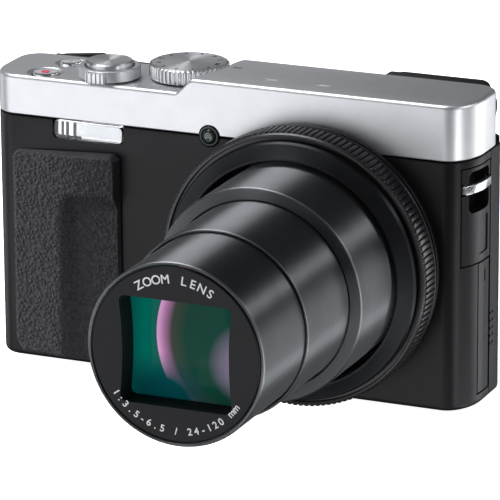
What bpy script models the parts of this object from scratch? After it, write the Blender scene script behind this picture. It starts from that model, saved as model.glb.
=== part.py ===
"""Compact travel-zoom digital camera, built as separate solids in one shared frame.

All dimensions are in millimetres and turned into metres when a mesh is made.
Axes: +X towards the lens side, +Y towards the screen, +Z up.  In the constants and
profiles below y is measured from the flat front face; the frame's origin lies on the
base, DEPTH_DATUM behind that face.
"""
import math

import bmesh
import bpy
from mathutils import Matrix, Vector

MM = 0.001

# Case
HALF_WIDTH = 56.0          # centre to either end
DEPTH_DATUM = 11.0         # front face to the frame's origin
FRONT_DEPTH = 13.0         # front case, face to seam
SEAM = 0.3                 # gap left between neighbouring pieces
CASE_DEPTH = 22.0          # face to the back of the rear case
CASE_TOP = 55.3            # upper edge of the black front case
WALL = 1.5                 # case wall thickness
FOOT_Z = 0.3               # lower edge of the case walls
LEFT_CORNER = (6.0, 8.0)   # elliptical corner at the grip end, half axes in x and y
RIGHT_CORNER = (6.2, 9.8)  # the same at the lens end
REAR_CORNER = 4.0
HUMP_X = -51.3             # grip end of the hump that stands behind the silver shelf

# Silver top
TOP_Z = 55.6               # lower edge of the silver apron
SHELF_Z = 64.4             # lower shelf with the controls
RAISED_Z = 67.7            # raised plate over the lens
TOP_DEPTH = 20.0
TOP_REAR_CORNER = 5.2
TOP_WALL = 1.3
TOP_CHAMFER = 0.9
RAMP_FOOT_X = -11.3        # foot of the ramp at the front edge
RAMP_HEAD_X = -7.2
RAMP_SLANT = 0.2           # how far the ramp drifts per millimetre of depth

# Lens
LENS_X, LENS_Z = 20.0, 31.0
RING_R = 30.3              # over the ribs of the control ring
RING_BORE = 27.6
RING_FRONT, RING_BACK = -9.8, -2.9
RING_RIBS = 54
RIB_DEPTH = 0.55
GRIP_TALL = 46.0            # clear height of the grip pad
SCOOP_DEPTH, SCOOP_SLOPE, SCOOP_CORNER = 1.5, 6.0, 5.0   # depth, width of its flank, corner radius
BEZEL_R = 28.85
BEZEL_BORE = 24.6
BARREL_BORE, BARREL_R = 24.0, 25.4
TUBE3_R, TUBE3_BORE, TUBE3_LIP = 23.4, 22.4, 20.65
TUBE3_FRONT, TUBE3_BACK = -28.4, -2.0
TUBE2_R, TUBE2_BORE = 20.3, 19.75
TUBE2_FRONT, TUBE2_BACK = -49.4, -24.0
TUBE1_R, TUBE1_BORE = 19.4, 18.4
TUBE1_FRONT, TUBE1_BACK = -69.8, -44.4
WINDOW_HALF_W, WINDOW_HALF_H = 12.4, 11.2

# Controls on top
DIAL_X, DIAL_Y, DIAL_R = -13.4, 12.4, 8.75
DIAL_BASE, DIAL_TOP = 64.75, 68.2
LEVER_X, LEVER_Y, LEVER_R, LEVER_BORE = -29.5, 6.2, 6.7, 5.5
POWER_X, POWER_Y, POWER_R = -42.4, 13.6, 2.4
RECORD_X, RECORD_Y, RECORD_R = -44.2, 4.6, 2.9

# Controls on the back
WHEEL_X, WHEEL_Z, WHEEL_R, WHEEL_BORE = -40.0, 26.0, 9.4, 5.6
BACK_KEYS = {"playback_button": (-49.0, 11.0), "delete_button": (-31.0, 11.0),
             "view_button": (-31.0, 45.0)}
KEY_R = 2.2

# Screen
SCREEN_X = (-24.0, 53.0)
SCREEN_Z = (1.3, 55.6)
SCREEN_Y = (22.3, 25.6)
SCREEN_AXIS_Y, SCREEN_AXIS_Z = 24.5, 55.0

# Battery bay and base
DOOR_AXIS_X, DOOR_AXIS_Z = -16.0, 0.7
DOOR_X = (-50.7, -16.6)
DOOR_Y = (3.9, 18.3)
TRIPOD_X, TRIPOD_Y = -8.0, 11.0

# Flap over the sockets
FLAP_Y = (7.0, 12.3)
FLAP_Z = (3.0, 31.9)
FLAP_AXIS_Y = 12.3
FLAP_T = 1.2


def clear_scene():
    for obj in list(bpy.data.objects):
        bpy.data.objects.remove(obj, do_unlink=True)


def material(name, colour, rough, metal=0.0, alpha=1.0):
    mat = bpy.data.materials.new(name)
    mat.use_nodes = True
    shader = mat.node_tree.nodes["Principled BSDF"]
    shader.inputs["Base Color"].default_value = (*colour, 1.0)
    shader.inputs["Roughness"].default_value = rough
    shader.inputs["Metallic"].default_value = metal
    shader.inputs["Alpha"].default_value = alpha
    mat.diffuse_color = (*colour, 1.0)
    return mat


BLACK = ((0.025, 0.025, 0.028), 0.45)
SATIN = ((0.018, 0.018, 0.02), 0.3)
SILVER = ((0.62, 0.63, 0.65), 0.32, 0.9)
STEEL = ((0.55, 0.56, 0.58), 0.35, 1.0)
RUBBER = ((0.03, 0.03, 0.03), 0.8)
GLASS = ((0.75, 0.85, 0.85), 0.05)
DARK_GLASS = ((0.02, 0.03, 0.04), 0.05)
BOARD = ((0.02, 0.16, 0.07), 0.5)
BRASS = ((0.75, 0.55, 0.25), 0.35, 1.0)
CELL_GREY = ((0.1, 0.1, 0.11), 0.5)
CARD_BLUE = ((0.02, 0.05, 0.2), 0.4)


def finish(name, bm, origin, look):
    """Turn a mesh drawn in millimetres into an object whose origin is at the given point."""
    bmesh.ops.remove_doubles(bm, verts=bm.verts, dist=1e-5)
    bmesh.ops.recalc_face_normals(bm, faces=bm.faces)
    place = Vector((origin[0], origin[1] - DEPTH_DATUM, origin[2])) * MM
    bm.transform(Matrix.Translation(-Vector(origin)))
    bm.transform(Matrix.Scale(MM, 4))
    mesh = bpy.data.meshes.new(name)
    bm.to_mesh(mesh)
    bm.free()
    mesh.shade_smooth()
    mesh.set_sharp_from_angle(angle=math.radians(35.0))
    obj = bpy.data.objects.new(name, mesh)
    obj.location = place
    bpy.context.scene.collection.objects.link(obj)
    mesh.materials.append(material(name + "_look", *look))
    return obj


def ring_faces(bm, loops, closed=True):
    """Quads between successive loops of vertices."""
    for low, high in zip(loops, loops[1:]):
        count = len(low)
        for i in range(count if closed else count - 1):
            j = (i + 1) % count
            bm.faces.new((low[i], low[j], high[j], high[i]))


def revolve(profile, centre, axis, segments, closed=True):
    """Spin a (radius, along) profile about an axis; a radius of zero closes to a point."""
    bm = bmesh.new()
    rows = []
    for radius, along in profile:
        count = 1 if radius == 0.0 else segments
        row = []
        for i in range(count):
            turn = 2.0 * math.pi * i / segments
            a, b = radius * math.cos(turn), radius * math.sin(turn)
            point = {"x": (along, a, b), "y": (a, along, b), "z": (a, b, along)}[axis]
            row.append(bm.verts.new(Vector(point) + Vector(centre)))
        rows.append(row)
    pairs = list(zip(rows, rows[1:]))
    if closed:
        pairs.append((rows[-1], rows[0]))
    for low, high in pairs:
        if len(low) == 1 and len(high) == 1:
            continue
        for i in range(segments):
            j = (i + 1) % segments
            quad = [low[i % len(low)], low[j % len(low)], high[j % len(high)], high[i % len(high)]]
            bm.faces.new(list(dict.fromkeys(quad)))
    return bm


def box(low, high, chamfer=0.0):
    """A box between two corners, optionally with every edge cut back."""
    bm = bmesh.new()
    corners = [bm.verts.new((x, y, z)) for z in (low[2], high[2])
               for x, y in ((low[0], low[1]), (high[0], low[1]), (high[0], high[1]), (low[0], high[1]))]
    bm.faces.new(corners[:4])
    bm.faces.new(corners[4:])
    for i in range(4):
        j = (i + 1) % 4
        bm.faces.new((corners[i], corners[j], corners[j + 4], corners[i + 4]))
    bmesh.ops.recalc_face_normals(bm, faces=bm.faces)
    if chamfer:
        bmesh.ops.bevel(bm, geom=list(bm.edges), offset=chamfer, segments=1, affect="EDGES")
    return bm


def prism(outline, start, end, axis):
    """Sweep a flat outline of (u, v) points along an axis."""
    bm = bmesh.new()
    loops = []
    for along in (start, end):
        spots = {"x": lambda u, v: (along, u, v), "y": lambda u, v: (u, along, v),
                 "z": lambda u, v: (u, v, along)}[axis]
        loops.append([bm.verts.new(spots(u, v)) for u, v in outline])
    bm.faces.new(loops[0])
    bm.faces.new(loops[1])
    ring_faces(bm, loops)
    bmesh.ops.recalc_face_normals(bm, faces=bm.faces)
    return bm


def rounded_rect(u0, u1, v0, v1, radius, steps=4):
    """Counter-clockwise rectangle outline with round corners."""
    points = []
    centres = ((u1 - radius, v0 + radius, -90), (u1 - radius, v1 - radius, 0),
               (u0 + radius, v1 - radius, 90), (u0 + radius, v0 + radius, 180))
    for cu, cv, begin in centres:
        for k in range(steps + 1):
            turn = math.radians(begin + 90.0 * k / steps)
            points.append((cu + radius * math.cos(turn), cv + radius * math.sin(turn)))
    return points


def carve(bm, cutters, operation="DIFFERENCE"):
    """Cut (or join) solids into a mesh and give back the result."""
    def as_object(name, source):
        mesh = bpy.data.meshes.new(name)
        source.transform(Matrix.Scale(MM, 4))
        bmesh.ops.recalc_face_normals(source, faces=source.faces)
        source.to_mesh(mesh)
        source.free()
        obj = bpy.data.objects.new(name, mesh)
        bpy.context.scene.collection.objects.link(obj)
        return obj

    body = as_object("blank", bm)
    tools = []
    for index, cutter in enumerate(cutters):
        tool = as_object("tool_%d" % index, cutter)
        step = body.modifiers.new("cut_%d" % index, "BOOLEAN")
        step.operation = operation
        step.solver = "EXACT"
        step.object = tool
        tools.append(tool)
    bpy.context.view_layer.update()
    graph = bpy.context.evaluated_depsgraph_get()
    result = bpy.data.meshes.new_from_object(body.evaluated_get(graph))
    out = bmesh.new()
    out.from_mesh(result)
    out.transform(Matrix.Scale(1.0 / MM, 4))
    for obj in [body] + tools:
        bpy.data.objects.remove(obj, do_unlink=True)
    bmesh.ops.remove_doubles(out, verts=out.verts, dist=1e-4)
    bmesh.ops.dissolve_degenerate(out, edges=out.edges, dist=1e-4)
    return out


def disc_cutter(radius, start, end, centre, axis, segments=32):
    """A plain cylinder from start to end along an axis."""
    return revolve([(0.0, start), (radius, start), (radius, end), (0.0, end)],
                   centre, axis, segments, closed=False)


# ---------------------------------------------------------------- plan outlines

def arc(cx, cy, rx, ry, begin, end, steps):
    points = []
    for k in range(steps + 1):
        turn = math.radians(begin + (end - begin) * k / steps)
        points.append((cx + rx * math.cos(turn), cy + ry * math.sin(turn)))
    return points


def front_path(inset, depth):
    """Plan of the front and both ends, from the grip end round to the lens end."""
    lx, ly = LEFT_CORNER
    rx, ry = RIGHT_CORNER
    left = arc(-HALF_WIDTH + lx, ly, lx - inset, ly - inset, 180, 270, 8)
    right = arc(HALF_WIDTH - rx, ry, rx - inset, ry - inset, 270, 360, 8)
    return [(-HALF_WIDTH + inset, depth)] + left + right + [(HALF_WIDTH - inset, depth)]


def rear_path(inset, depth, start):
    """Plan of the back and both ends, from the lens end round to the grip end."""
    r = REAR_CORNER
    right = arc(HALF_WIDTH - r, depth - r, r - inset, r - inset, 0, 90, 6)
    left = arc(-HALF_WIDTH + r, depth - r, r - inset, r - inset, 90, 180, 6)
    return [(HALF_WIDTH - inset, start)] + right + left + [(-HALF_WIDTH + inset, start)]


def end_curve(inset, start, end):
    """Points along the lens end of the case between two depths, front to back."""
    points = []
    rx, ry = RIGHT_CORNER
    for k in range(7):
        y = start + (end - start) * k / 6
        drop = min(max((ry - y) / (ry - inset), 0.0), 1.0)
        points.append((HALF_WIDTH - rx + (rx - inset) * math.sqrt(1.0 - drop * drop), y))
    return points


def wall_shell(path, levels):
    """An upright wall following an open path; levels are (z, outer inset), wall WALL thick."""
    bm = bmesh.new()
    outer = [[bm.verts.new((x, y, z)) for x, y in path(inset)] for z, inset in levels]
    inner = [[bm.verts.new((x, y, z)) for x, y in path(WALL)] for z, _ in levels]
    ring_faces(bm, outer, closed=False)
    ring_faces(bm, inner, closed=False)
    ring_faces(bm, [outer[0], inner[0]], closed=False)
    ring_faces(bm, [outer[-1], inner[-1]], closed=False)
    for end in (0, -1):
        for k in range(len(levels) - 1):
            bm.faces.new((outer[k][end], outer[k + 1][end], inner[k + 1][end], inner[k][end]))
    return bm


# ---------------------------------------------------------------- case

def build_front_case():
    bm = wall_shell(lambda inset: front_path(inset, FRONT_DEPTH),
                    [(FOOT_Z, 0.8), (FOOT_Z + 0.3, 0.25), (FOOT_Z + 1.0, 0.0), (CASE_TOP, 0.0)])
    cutters = [
        disc_cutter(26.0, -2.0, 4.0, (LENS_X, 0.0, LENS_Z), "y", 64),
        prism(rounded_rect(-40.6, -23.5, 51.1, 58.0, 1.2), -2.0, 4.0, "y"),
        disc_cutter(2.5, -2.0, 4.0, (-3.3, 0.0, 55.5), "y", 24),
        box((50.0, 1.9, 32.0), (60.0, 20.0, 53.8)),
        box((50.0, 6.6, 2.6), (60.0, 20.0, 32.1)),
    ]
    return finish("front_case", carve(bm, cutters), (0.0, 0.0, 0.0), BLACK)


def build_rear_case():
    bm = wall_shell(lambda inset: rear_path(inset, CASE_DEPTH, FRONT_DEPTH + SEAM),
                    [(FOOT_Z, 0.8), (FOOT_Z + 0.3, 0.25), (FOOT_Z + 1.0, 0.0), (64.0, 0.0)])
    cutters = [
        box((-70.0, 0.0, CASE_TOP), (70.0, 20.3, 80.0)),
        box((26.6, 10.0, 56.6), (70.0, 30.0, 80.0)),
        # The hump behind the shelf stops short of the round corner at the grip end.
        box((-70.0, 10.0, CASE_TOP), (HUMP_X, 30.0, 80.0)),
        box((-0.4, 21.1, 48.6), (30.4, 24.0, 56.3)),
        disc_cutter(2.9, 18.0, 26.0, (WHEEL_X, 0.0, WHEEL_Z), "y", 24),
    ]
    for x, z in BACK_KEYS.values():
        cutters.append(disc_cutter(KEY_R + 0.35, 18.0, 26.0, (x, 0.0, z), "y", 20))
    return finish("rear_case", carve(bm, cutters), (0.0, CASE_DEPTH, 0.0), BLACK)


def top_outline(inset):
    """Closed plan of the silver top with the height of its surface at every point."""
    lx, ly = LEFT_CORNER
    rx, ry = RIGHT_CORNER
    r = TOP_REAR_CORNER
    back = TOP_DEPTH - inset
    low, high = SHELF_Z, RAISED_Z
    points = [(x, y, low) for x, y in
              arc(-HALF_WIDTH + r, TOP_DEPTH - r, r - inset, r - inset, 90, 180, 5)]
    points += [(x, y, low) for x, y in arc(-HALF_WIDTH + lx, ly, lx - inset, ly - inset, 180, 270, 8)]
    points.append((RAMP_FOOT_X + RAMP_SLANT * inset, inset, low))
    points.append((RAMP_HEAD_X + RAMP_SLANT * inset, inset, high))
    points += [(x, y, high) for x, y in arc(HALF_WIDTH - rx, ry, rx - inset, ry - inset, 270, 360, 8)]
    points += [(x, y, high) for x, y in
               arc(HALF_WIDTH - r, TOP_DEPTH - r, r - inset, r - inset, 0, 90, 5)]
    points.append((RAMP_HEAD_X + RAMP_SLANT * back, back, high))
    points.append((RAMP_FOOT_X + RAMP_SLANT * back, back, low))
    return points


def build_top_cover():
    bm = bmesh.new()

    def loop(inset, level):
        return [bm.verts.new((x, y, level(z))) for x, y, z in top_outline(inset)]

    def cap(verts):
        foot_front = 6 + 9
        head_front = foot_front + 1
        head_back, foot_back = len(verts) - 2, len(verts) - 1
        bm.faces.new([verts[foot_back]] + verts[:foot_front + 1])
        bm.faces.new((verts[foot_front], verts[head_front], verts[head_back], verts[foot_back]))
        bm.faces.new(verts[head_front:head_back + 1])

    outer = [loop(0.0, lambda z: TOP_Z), loop(0.0, lambda z: z - TOP_CHAMFER),
             loop(TOP_CHAMFER * 0.35, lambda z: z - TOP_CHAMFER * 0.35), loop(TOP_CHAMFER, lambda z: z)]
    inner = [loop(TOP_WALL, lambda z: TOP_Z), loop(TOP_WALL, lambda z: z - TOP_WALL)]
    ring_faces(bm, outer)
    ring_faces(bm, inner)
    ring_faces(bm, [outer[0], inner[0]])
    cap(outer[-1])
    cap(inner[-1])
    cutters = [
        disc_cutter(DIAL_R + 0.45, SHELF_Z - 0.01, 75.0, (DIAL_X, DIAL_Y, 0.0), "z", 48),
        disc_cutter(3.4, 60.0, 75.0, (DIAL_X, DIAL_Y, 0.0), "z", 24),
        disc_cutter(2.5, 60.0, 75.0, (LEVER_X, LEVER_Y, 0.0), "z", 24),
        disc_cutter(POWER_R + 0.35, 60.0, 75.0, (POWER_X, POWER_Y, 0.0), "z", 24),
        disc_cutter(RECORD_R + 0.35, 60.0, 75.0, (RECORD_X, RECORD_Y, 0.0), "z", 24),
        disc_cutter(2.5, -2.0, 4.0, (-3.3, 0.0, 55.5), "y", 24),
        disc_cutter(26.0, -2.0, 4.0, (LENS_X, 0.0, LENS_Z), "y", 64),
        prism(rounded_rect(32.5, 45.5, 58.3, 65.3, 1.0, 2), 16.0, 24.0, "y"),
    ]
    for x in (8.5, 20.5):
        cutters.append(box((x - 1.6, 5.5, 60.0), (x + 1.6, 6.3, 75.0)))
    return finish("top_cover", carve(bm, cutters), (0.0, 0.0, TOP_Z), SILVER)


def build_base():
    inset = 1.8
    path = front_path(inset, 12.0) + rear_path(inset, CASE_DEPTH, 13.0)
    cover = carve(prism(path, 0.0, 1.4, "z"), [
        box((-51.1, 3.5, -1.0), (-14.9, 18.7, 3.0)),
        disc_cutter(4.7, -1.0, 3.0, (TRIPOD_X, TRIPOD_Y, 0.0), "z", 24),
    ])
    finish("bottom_cover", cover, (0.0, DEPTH_DATUM, 0.0), BLACK)

    plate = box((DOOR_X[0], DOOR_Y[0], 0.0), (DOOR_AXIS_X - 0.2, DOOR_Y[1], 1.4))
    knuckle = disc_cutter(0.7, DOOR_Y[0], DOOR_Y[1], (DOOR_AXIS_X, 0.0, DOOR_AXIS_Z), "y", 16)
    door = carve(carve(plate, [knuckle], "UNION"), [box((-49.0, 8.5, -1.0), (-42.0, 13.7, 0.75))])
    finish("battery_door", door, (DOOR_AXIS_X, 11.1, DOOR_AXIS_Z), BLACK)
    finish("door_latch", box((-48.7, 8.8, 0.05), (-45.3, 13.4, 0.5), 0.12), (-47.0, 11.1, 0.3), SATIN)

    socket = revolve([(3.1, 0.05), (4.4, 0.05), (4.4, 5.8), (0.0, 5.8), (0.0, 5.1), (3.1, 5.1)],
                     (TRIPOD_X, TRIPOD_Y, 0.0), "z", 24)
    finish("tripod_socket", socket, (TRIPOD_X, TRIPOD_Y, 0.0), BRASS)


def build_lug():
    """Trim block with a strap bar across its pocket, at the lens end of the case."""
    front, back = 2.2, 12.7
    inner_x = 51.4
    block = prism(end_curve(0.0, front, back) + [(inner_x, back), (inner_x, front)], 32.3, 53.5, "z")
    pocket = rounded_rect(3.7, 12.0, 43.6, 52.7, 1.0, 2)
    groove = end_curve(0.9, 1.0, 14.0) + [(60.0, 14.0), (60.0, 1.0)]
    block = carve(block, [prism(pocket, 52.7, 60.0, "x"), prism(groove, 47.7, 50.3, "z")])
    finish("side_trim", block, (inner_x, 8.0, 44.0), BLACK)
    bar = end_curve(-0.45, 2.6, 12.6) + end_curve(0.6, 2.6, 12.6)[::-1]
    finish("strap_lug", prism(bar, 48.0, 50.0, "z"), (55.8, 8.0, 49.0), STEEL)


def build_sockets():
    inner = end_curve(FLAP_T, FLAP_Y[0], FLAP_Y[1])[::-1]
    flap = prism(end_curve(0.0, FLAP_Y[0], FLAP_Y[1]) + inner, FLAP_Z[0], FLAP_Z[1], "z")
    axis_x = HALF_WIDTH - FLAP_T / 2
    knuckle = disc_cutter(FLAP_T / 2, FLAP_Z[0], FLAP_Z[1], (axis_x, FLAP_AXIS_Y, 0.0), "z", 16)
    nick = box((55.5, 9.8, 27.2), (58.0, 10.4, 30.0))
    flap = carve(carve(flap, [knuckle], "UNION"), [nick])
    finish("terminal_door", flap, (axis_x, FLAP_AXIS_Y, 17.2), BLACK)
    for name, z0, z1 in (("usb_socket", 6.0, 14.4), ("video_socket", 19.0, 26.0)):
        shell = prism(rounded_rect(8.1, 11.4, z0, z1, 0.6, 2), 48.4, 53.6, "x")
        bore = prism(rounded_rect(8.5, 11.0, z0 + 0.4, z1 - 0.4, 0.4, 2), 49.6, 56.0, "x")
        finish(name, carve(shell, [bore]), (51.0, 9.75, (z0 + z1) / 2), STEEL)
    finish("socket_board", box((46.9, 3.5, 3.5), (48.0, 16.5, 31.0)), (47.4, 10.0, 17.0), BOARD)
    speaker = revolve([(0.0, 51.2), (4.8, 51.2), (4.8, 53.2), (3.9, 53.2), (3.9, 52.7), (0.0, 52.7)],
                      (0.0, 15.6, 15.4), "x", 24, closed=False)
    flats = [box((40.0, 18.2, 0.0), (60.0, 30.0, 40.0)), box((40.0, 0.0, 0.0), (60.0, 13.6, 40.0))]
    finish("speaker", carve(speaker, flats), (52.2, 15.6, 15.4), SATIN)


# ---------------------------------------------------------------- grip and rest

def scoop_depth(across, below):
    """Depth of the finger scoop, that far inside its upright edge and under its top edge."""
    if min(across, below) <= 0.0:
        return 0.0
    inside = min(across, below)
    if max(across, below) < SCOOP_CORNER:
        inside = SCOOP_CORNER - math.hypot(SCOOP_CORNER - across, SCOOP_CORNER - below)
    share = min(max(inside / SCOOP_SLOPE, 0.0), 1.0)
    return SCOOP_DEPTH * share * share * (3.0 - 2.0 * share)


def build_grip():
    """Wedge-shaped pad: thin at the end of the case, thick at its inner edge, with a scoop."""
    x0, x1 = -50.3, -24.3
    columns = [0.0, 0.03, 0.1, 0.2, 0.3, 0.4, 0.45, 0.5, 0.55, 0.6, 0.67, 0.75, 0.85, 0.955, 1.0]
    rows = [0.0, 0.025, 0.07, 0.2, 0.35, 0.5, 0.6, 0.68, 0.74, 0.79, 0.83, 0.87, 0.92, 0.965, 1.0]

    def height(u, v):
        swell = 0.55 + 2.95 * math.sin(0.5 * math.pi * min(u / 0.82, 1.0)) ** 1.2
        scoop = scoop_depth((x1 - x0) * (u - 0.45), GRIP_TALL * (0.83 - v))
        rim = min(min(u, 1.0 - u) / 0.03, min(v, 1.0 - v) / 0.025, 1.0)
        return 0.3 + (swell - scoop - 0.3) * (0.35 + 0.65 * rim)

    bm = bmesh.new()
    face, back = [], []
    for v in rows:
        front_row, back_row = [], []
        for u in columns:
            left, right = max(0.0, 1.0 - u / 0.09), max(0.0, 1.0 - (1.0 - u) / 0.07)
            pinch = 2.2 * left ** 2 + 1.6 * right ** 2
            low, high = 1.4 + 1.6 * pinch, 47.9 + 1.4 * u - pinch * 0.8
            spot = (x0 + (x1 - x0) * u, low + (high - low) * v)
            front_row.append(bm.verts.new((spot[0], -height(u, v), spot[1])))
            back_row.append(bm.verts.new((spot[0], -0.25, spot[1])))
        face.append(front_row)
        back.append(back_row)
    ring_faces(bm, face, closed=False)
    ring_faces(bm, back, closed=False)
    ring_faces(bm, [face[0], back[0]], closed=False)
    ring_faces(bm, [face[-1], back[-1]], closed=False)
    for end in (0, -1):
        ring_faces(bm, [[row[end] for row in face], [row[end] for row in back]], closed=False)
    finish("grip_pad", bm, (x0, 0.0, 24.0), RUBBER)


def build_thumb_rest():
    bm = bmesh.new()
    loops = []
    for y, inset, top in ((22.3, 0.0, 64.5), (23.6, 0.0, 64.5), (25.0, 1.2, 63.6)):
        outline = rounded_rect(-51.0 + inset, -37.2 - inset, 40.5 + 2.2 * inset, top, 2.4, 3)
        loops.append([bm.verts.new((x, y, z)) for x, z in outline])
    bm.faces.new(loops[0])
    bm.faces.new(loops[-1])
    ring_faces(bm, loops)
    finish("thumb_rest", bm, (-44.0, 22.3, 52.0), RUBBER)


# ---------------------------------------------------------------- front lamps

def build_flash():
    window = prism(rounded_rect(-40.25, -23.85, 51.45, 55.2, 0.9, 3), -0.2, 1.6, "y")
    finish("flash_window", window, (-32.0, 0.0, 53.3), GLASS)
    trough = [(1.9, 51.6), (6.2, 52.6), (6.2, 54.2), (1.9, 55.2),
              (1.9, 54.8), (5.8, 53.9), (5.8, 52.9), (1.9, 52.0)]
    finish("flash_reflector", prism(trough, -34.2, -24.5, "x"), (-29.3, 4.0, 53.4), STEEL)
    tube = disc_cutter(0.45, -38.5, -24.0, (0.0, 4.9, 53.4), "x", 12)
    finish("flash_tube", tube, (-31.0, 4.9, 53.4), GLASS)
    can = revolve([(0.0, -50.0), (4.0, -50.0), (4.6, -49.4), (4.6, -22.6), (4.0, -22.0), (0.0, -22.0)],
                  (0.0, 11.8, 49.2), "x", 20, closed=False)
    finish("flash_capacitor", can, (-36.0, 11.8, 49.2), SATIN)
    lamp = revolve([(0.0, -0.75), (0.9, -0.65), (1.6, -0.4), (2.15, -0.1), (2.15, 2.8), (0.0, 2.8)],
                   (-3.3, 0.0, 55.5), "y", 24, closed=False)
    finish("focus_lamp", lamp, (-3.3, 0.0, 55.5), DARK_GLASS)


# ---------------------------------------------------------------- lens

def lens_part(name, profile, look, segments=48, origin_y=0.0, closed=True):
    bm = revolve(profile, (LENS_X, 0.0, LENS_Z), "y", segments, closed)
    return finish(name, bm, (LENS_X, origin_y, LENS_Z), look)


def build_lens():
    lens_part("lens_flange", [(27.6, -2.6), (28.9, -2.6), (29.7, -1.8), (29.7, -0.3), (27.6, -0.3)], SATIN)

    bm = bmesh.new()
    loops = []
    for y, outer, inner in ((RING_BACK, RING_R, RING_BORE), (RING_FRONT, RING_R, RING_BORE)):
        rim, bore = [], []
        for i in range(2 * RING_RIBS):
            turn = math.pi * i / RING_RIBS
            across, rise = math.cos(turn), math.sin(turn)
            radius = outer - (RIB_DEPTH if i % 2 else 0.0)
            rim.append(bm.verts.new((LENS_X + radius * across, y, LENS_Z + radius * rise)))
            bore.append(bm.verts.new((LENS_X + inner * across, y, LENS_Z + inner * rise)))
        loops.append((rim, bore))
    ring_faces(bm, [loops[0][0], loops[1][0], loops[1][1], loops[0][1], loops[0][0]])
    finish("control_ring", bm, (LENS_X, 0.5 * (RING_BACK + RING_FRONT), LENS_Z), SATIN)

    lens_part("lens_bezel", [(BEZEL_BORE, -12.4), (25.0, -12.6), (BEZEL_R, -10.7), (BEZEL_R, -10.2),
                             (27.2, -10.2), (27.2, -0.4), (BEZEL_BORE, -0.4)], SATIN)
    lens_part("lens_barrel", [(BARREL_BORE, 0.1), (BARREL_R, 0.1), (BARREL_R, 15.6), (7.5, 15.6),
                              (7.5, 14.4), (BARREL_BORE, 14.4)], BLACK, 48)
    lens_part("lens_tube_rear", [(TUBE3_LIP, TUBE3_FRONT), (TUBE3_R - 0.3, TUBE3_FRONT),
                                 (TUBE3_R, TUBE3_FRONT + 0.3), (TUBE3_R, TUBE3_BACK),
                                 (TUBE3_BORE, TUBE3_BACK),
                                 (TUBE3_BORE, TUBE3_FRONT + 1.2), (TUBE3_LIP, TUBE3_FRONT + 1.2)], SATIN)
    lens_part("lens_tube_middle", [(TUBE2_BORE, TUBE2_FRONT), (TUBE2_R - 0.2, TUBE2_FRONT),
                                   (TUBE2_R, TUBE2_FRONT + 0.2), (TUBE2_R, TUBE2_BACK - 1.4),
                                   (22.0, TUBE2_BACK - 1.4), (22.0, TUBE2_BACK),
                                   (TUBE2_BORE, TUBE2_BACK)], SATIN)
    lens_part("lens_tube_front", [(TUBE1_BORE, TUBE1_FRONT + 1.1), (18.75, TUBE1_FRONT + 1.1),
                                  (18.75, TUBE1_FRONT + 0.1), (TUBE1_R - 0.2, TUBE1_FRONT),
                                  (TUBE1_R, TUBE1_FRONT + 0.3), (TUBE1_R, TUBE1_BACK),
                                  (TUBE1_BORE, TUBE1_BACK)], SATIN)

    disc = disc_cutter(18.45, TUBE1_FRONT, TUBE1_FRONT + 0.8, (LENS_X, 0.0, LENS_Z), "y", 48)
    window = rounded_rect(LENS_X - WINDOW_HALF_W, LENS_X + WINDOW_HALF_W,
                          LENS_Z - WINDOW_HALF_H, LENS_Z + WINDOW_HALF_H, 2.2, 3)
    plate = carve(disc, [prism(window, TUBE1_FRONT - 2.0, TUBE1_FRONT + 3.0, "y")])
    finish("nameplate", plate, (LENS_X, TUBE1_FRONT, LENS_Z), SATIN)

    lens_part("front_lens", [(0.0, -65.6), (5.0, -65.2), (10.0, -64.0), (14.0, -62.2), (18.1, -62.2),
                             (18.1, -58.2), (12.0, -58.2), (0.0, -57.2)], DARK_GLASS, 32, -62.0, False)
    lens_part("zoom_lens", [(0.0, -27.4), (6.0, -26.8), (9.5, -25.4), (9.5, -23.8), (19.6, -23.8),
                            (19.6, -22.8), (8.0, -22.8), (0.0, -23.4)], DARK_GLASS, 32, -25.0, False)
    lens_part("rear_lens", [(0.0, 14.0), (4.0, 14.2), (7.1, 14.7), (7.1, 15.5), (0.0, 15.5)],
              GLASS, 24, 15.0, False)

    finish("image_sensor", box((13.0, 16.0, 25.5), (27.0, 16.9, 36.5)), (20.0, 16.5, 31.0), DARK_GLASS)
    finish("sensor_plate", box((6.0, 17.2, 19.0), (34.0, 18.2, 43.0), 0.2), (20.0, 17.7, 31.0), STEEL)
    finish("main_board", box((-12.0, 18.6, 6.0), (50.0, 19.8, 54.0)), (19.0, 19.2, 30.0), BOARD)


# ---------------------------------------------------------------- inside the case

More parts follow.
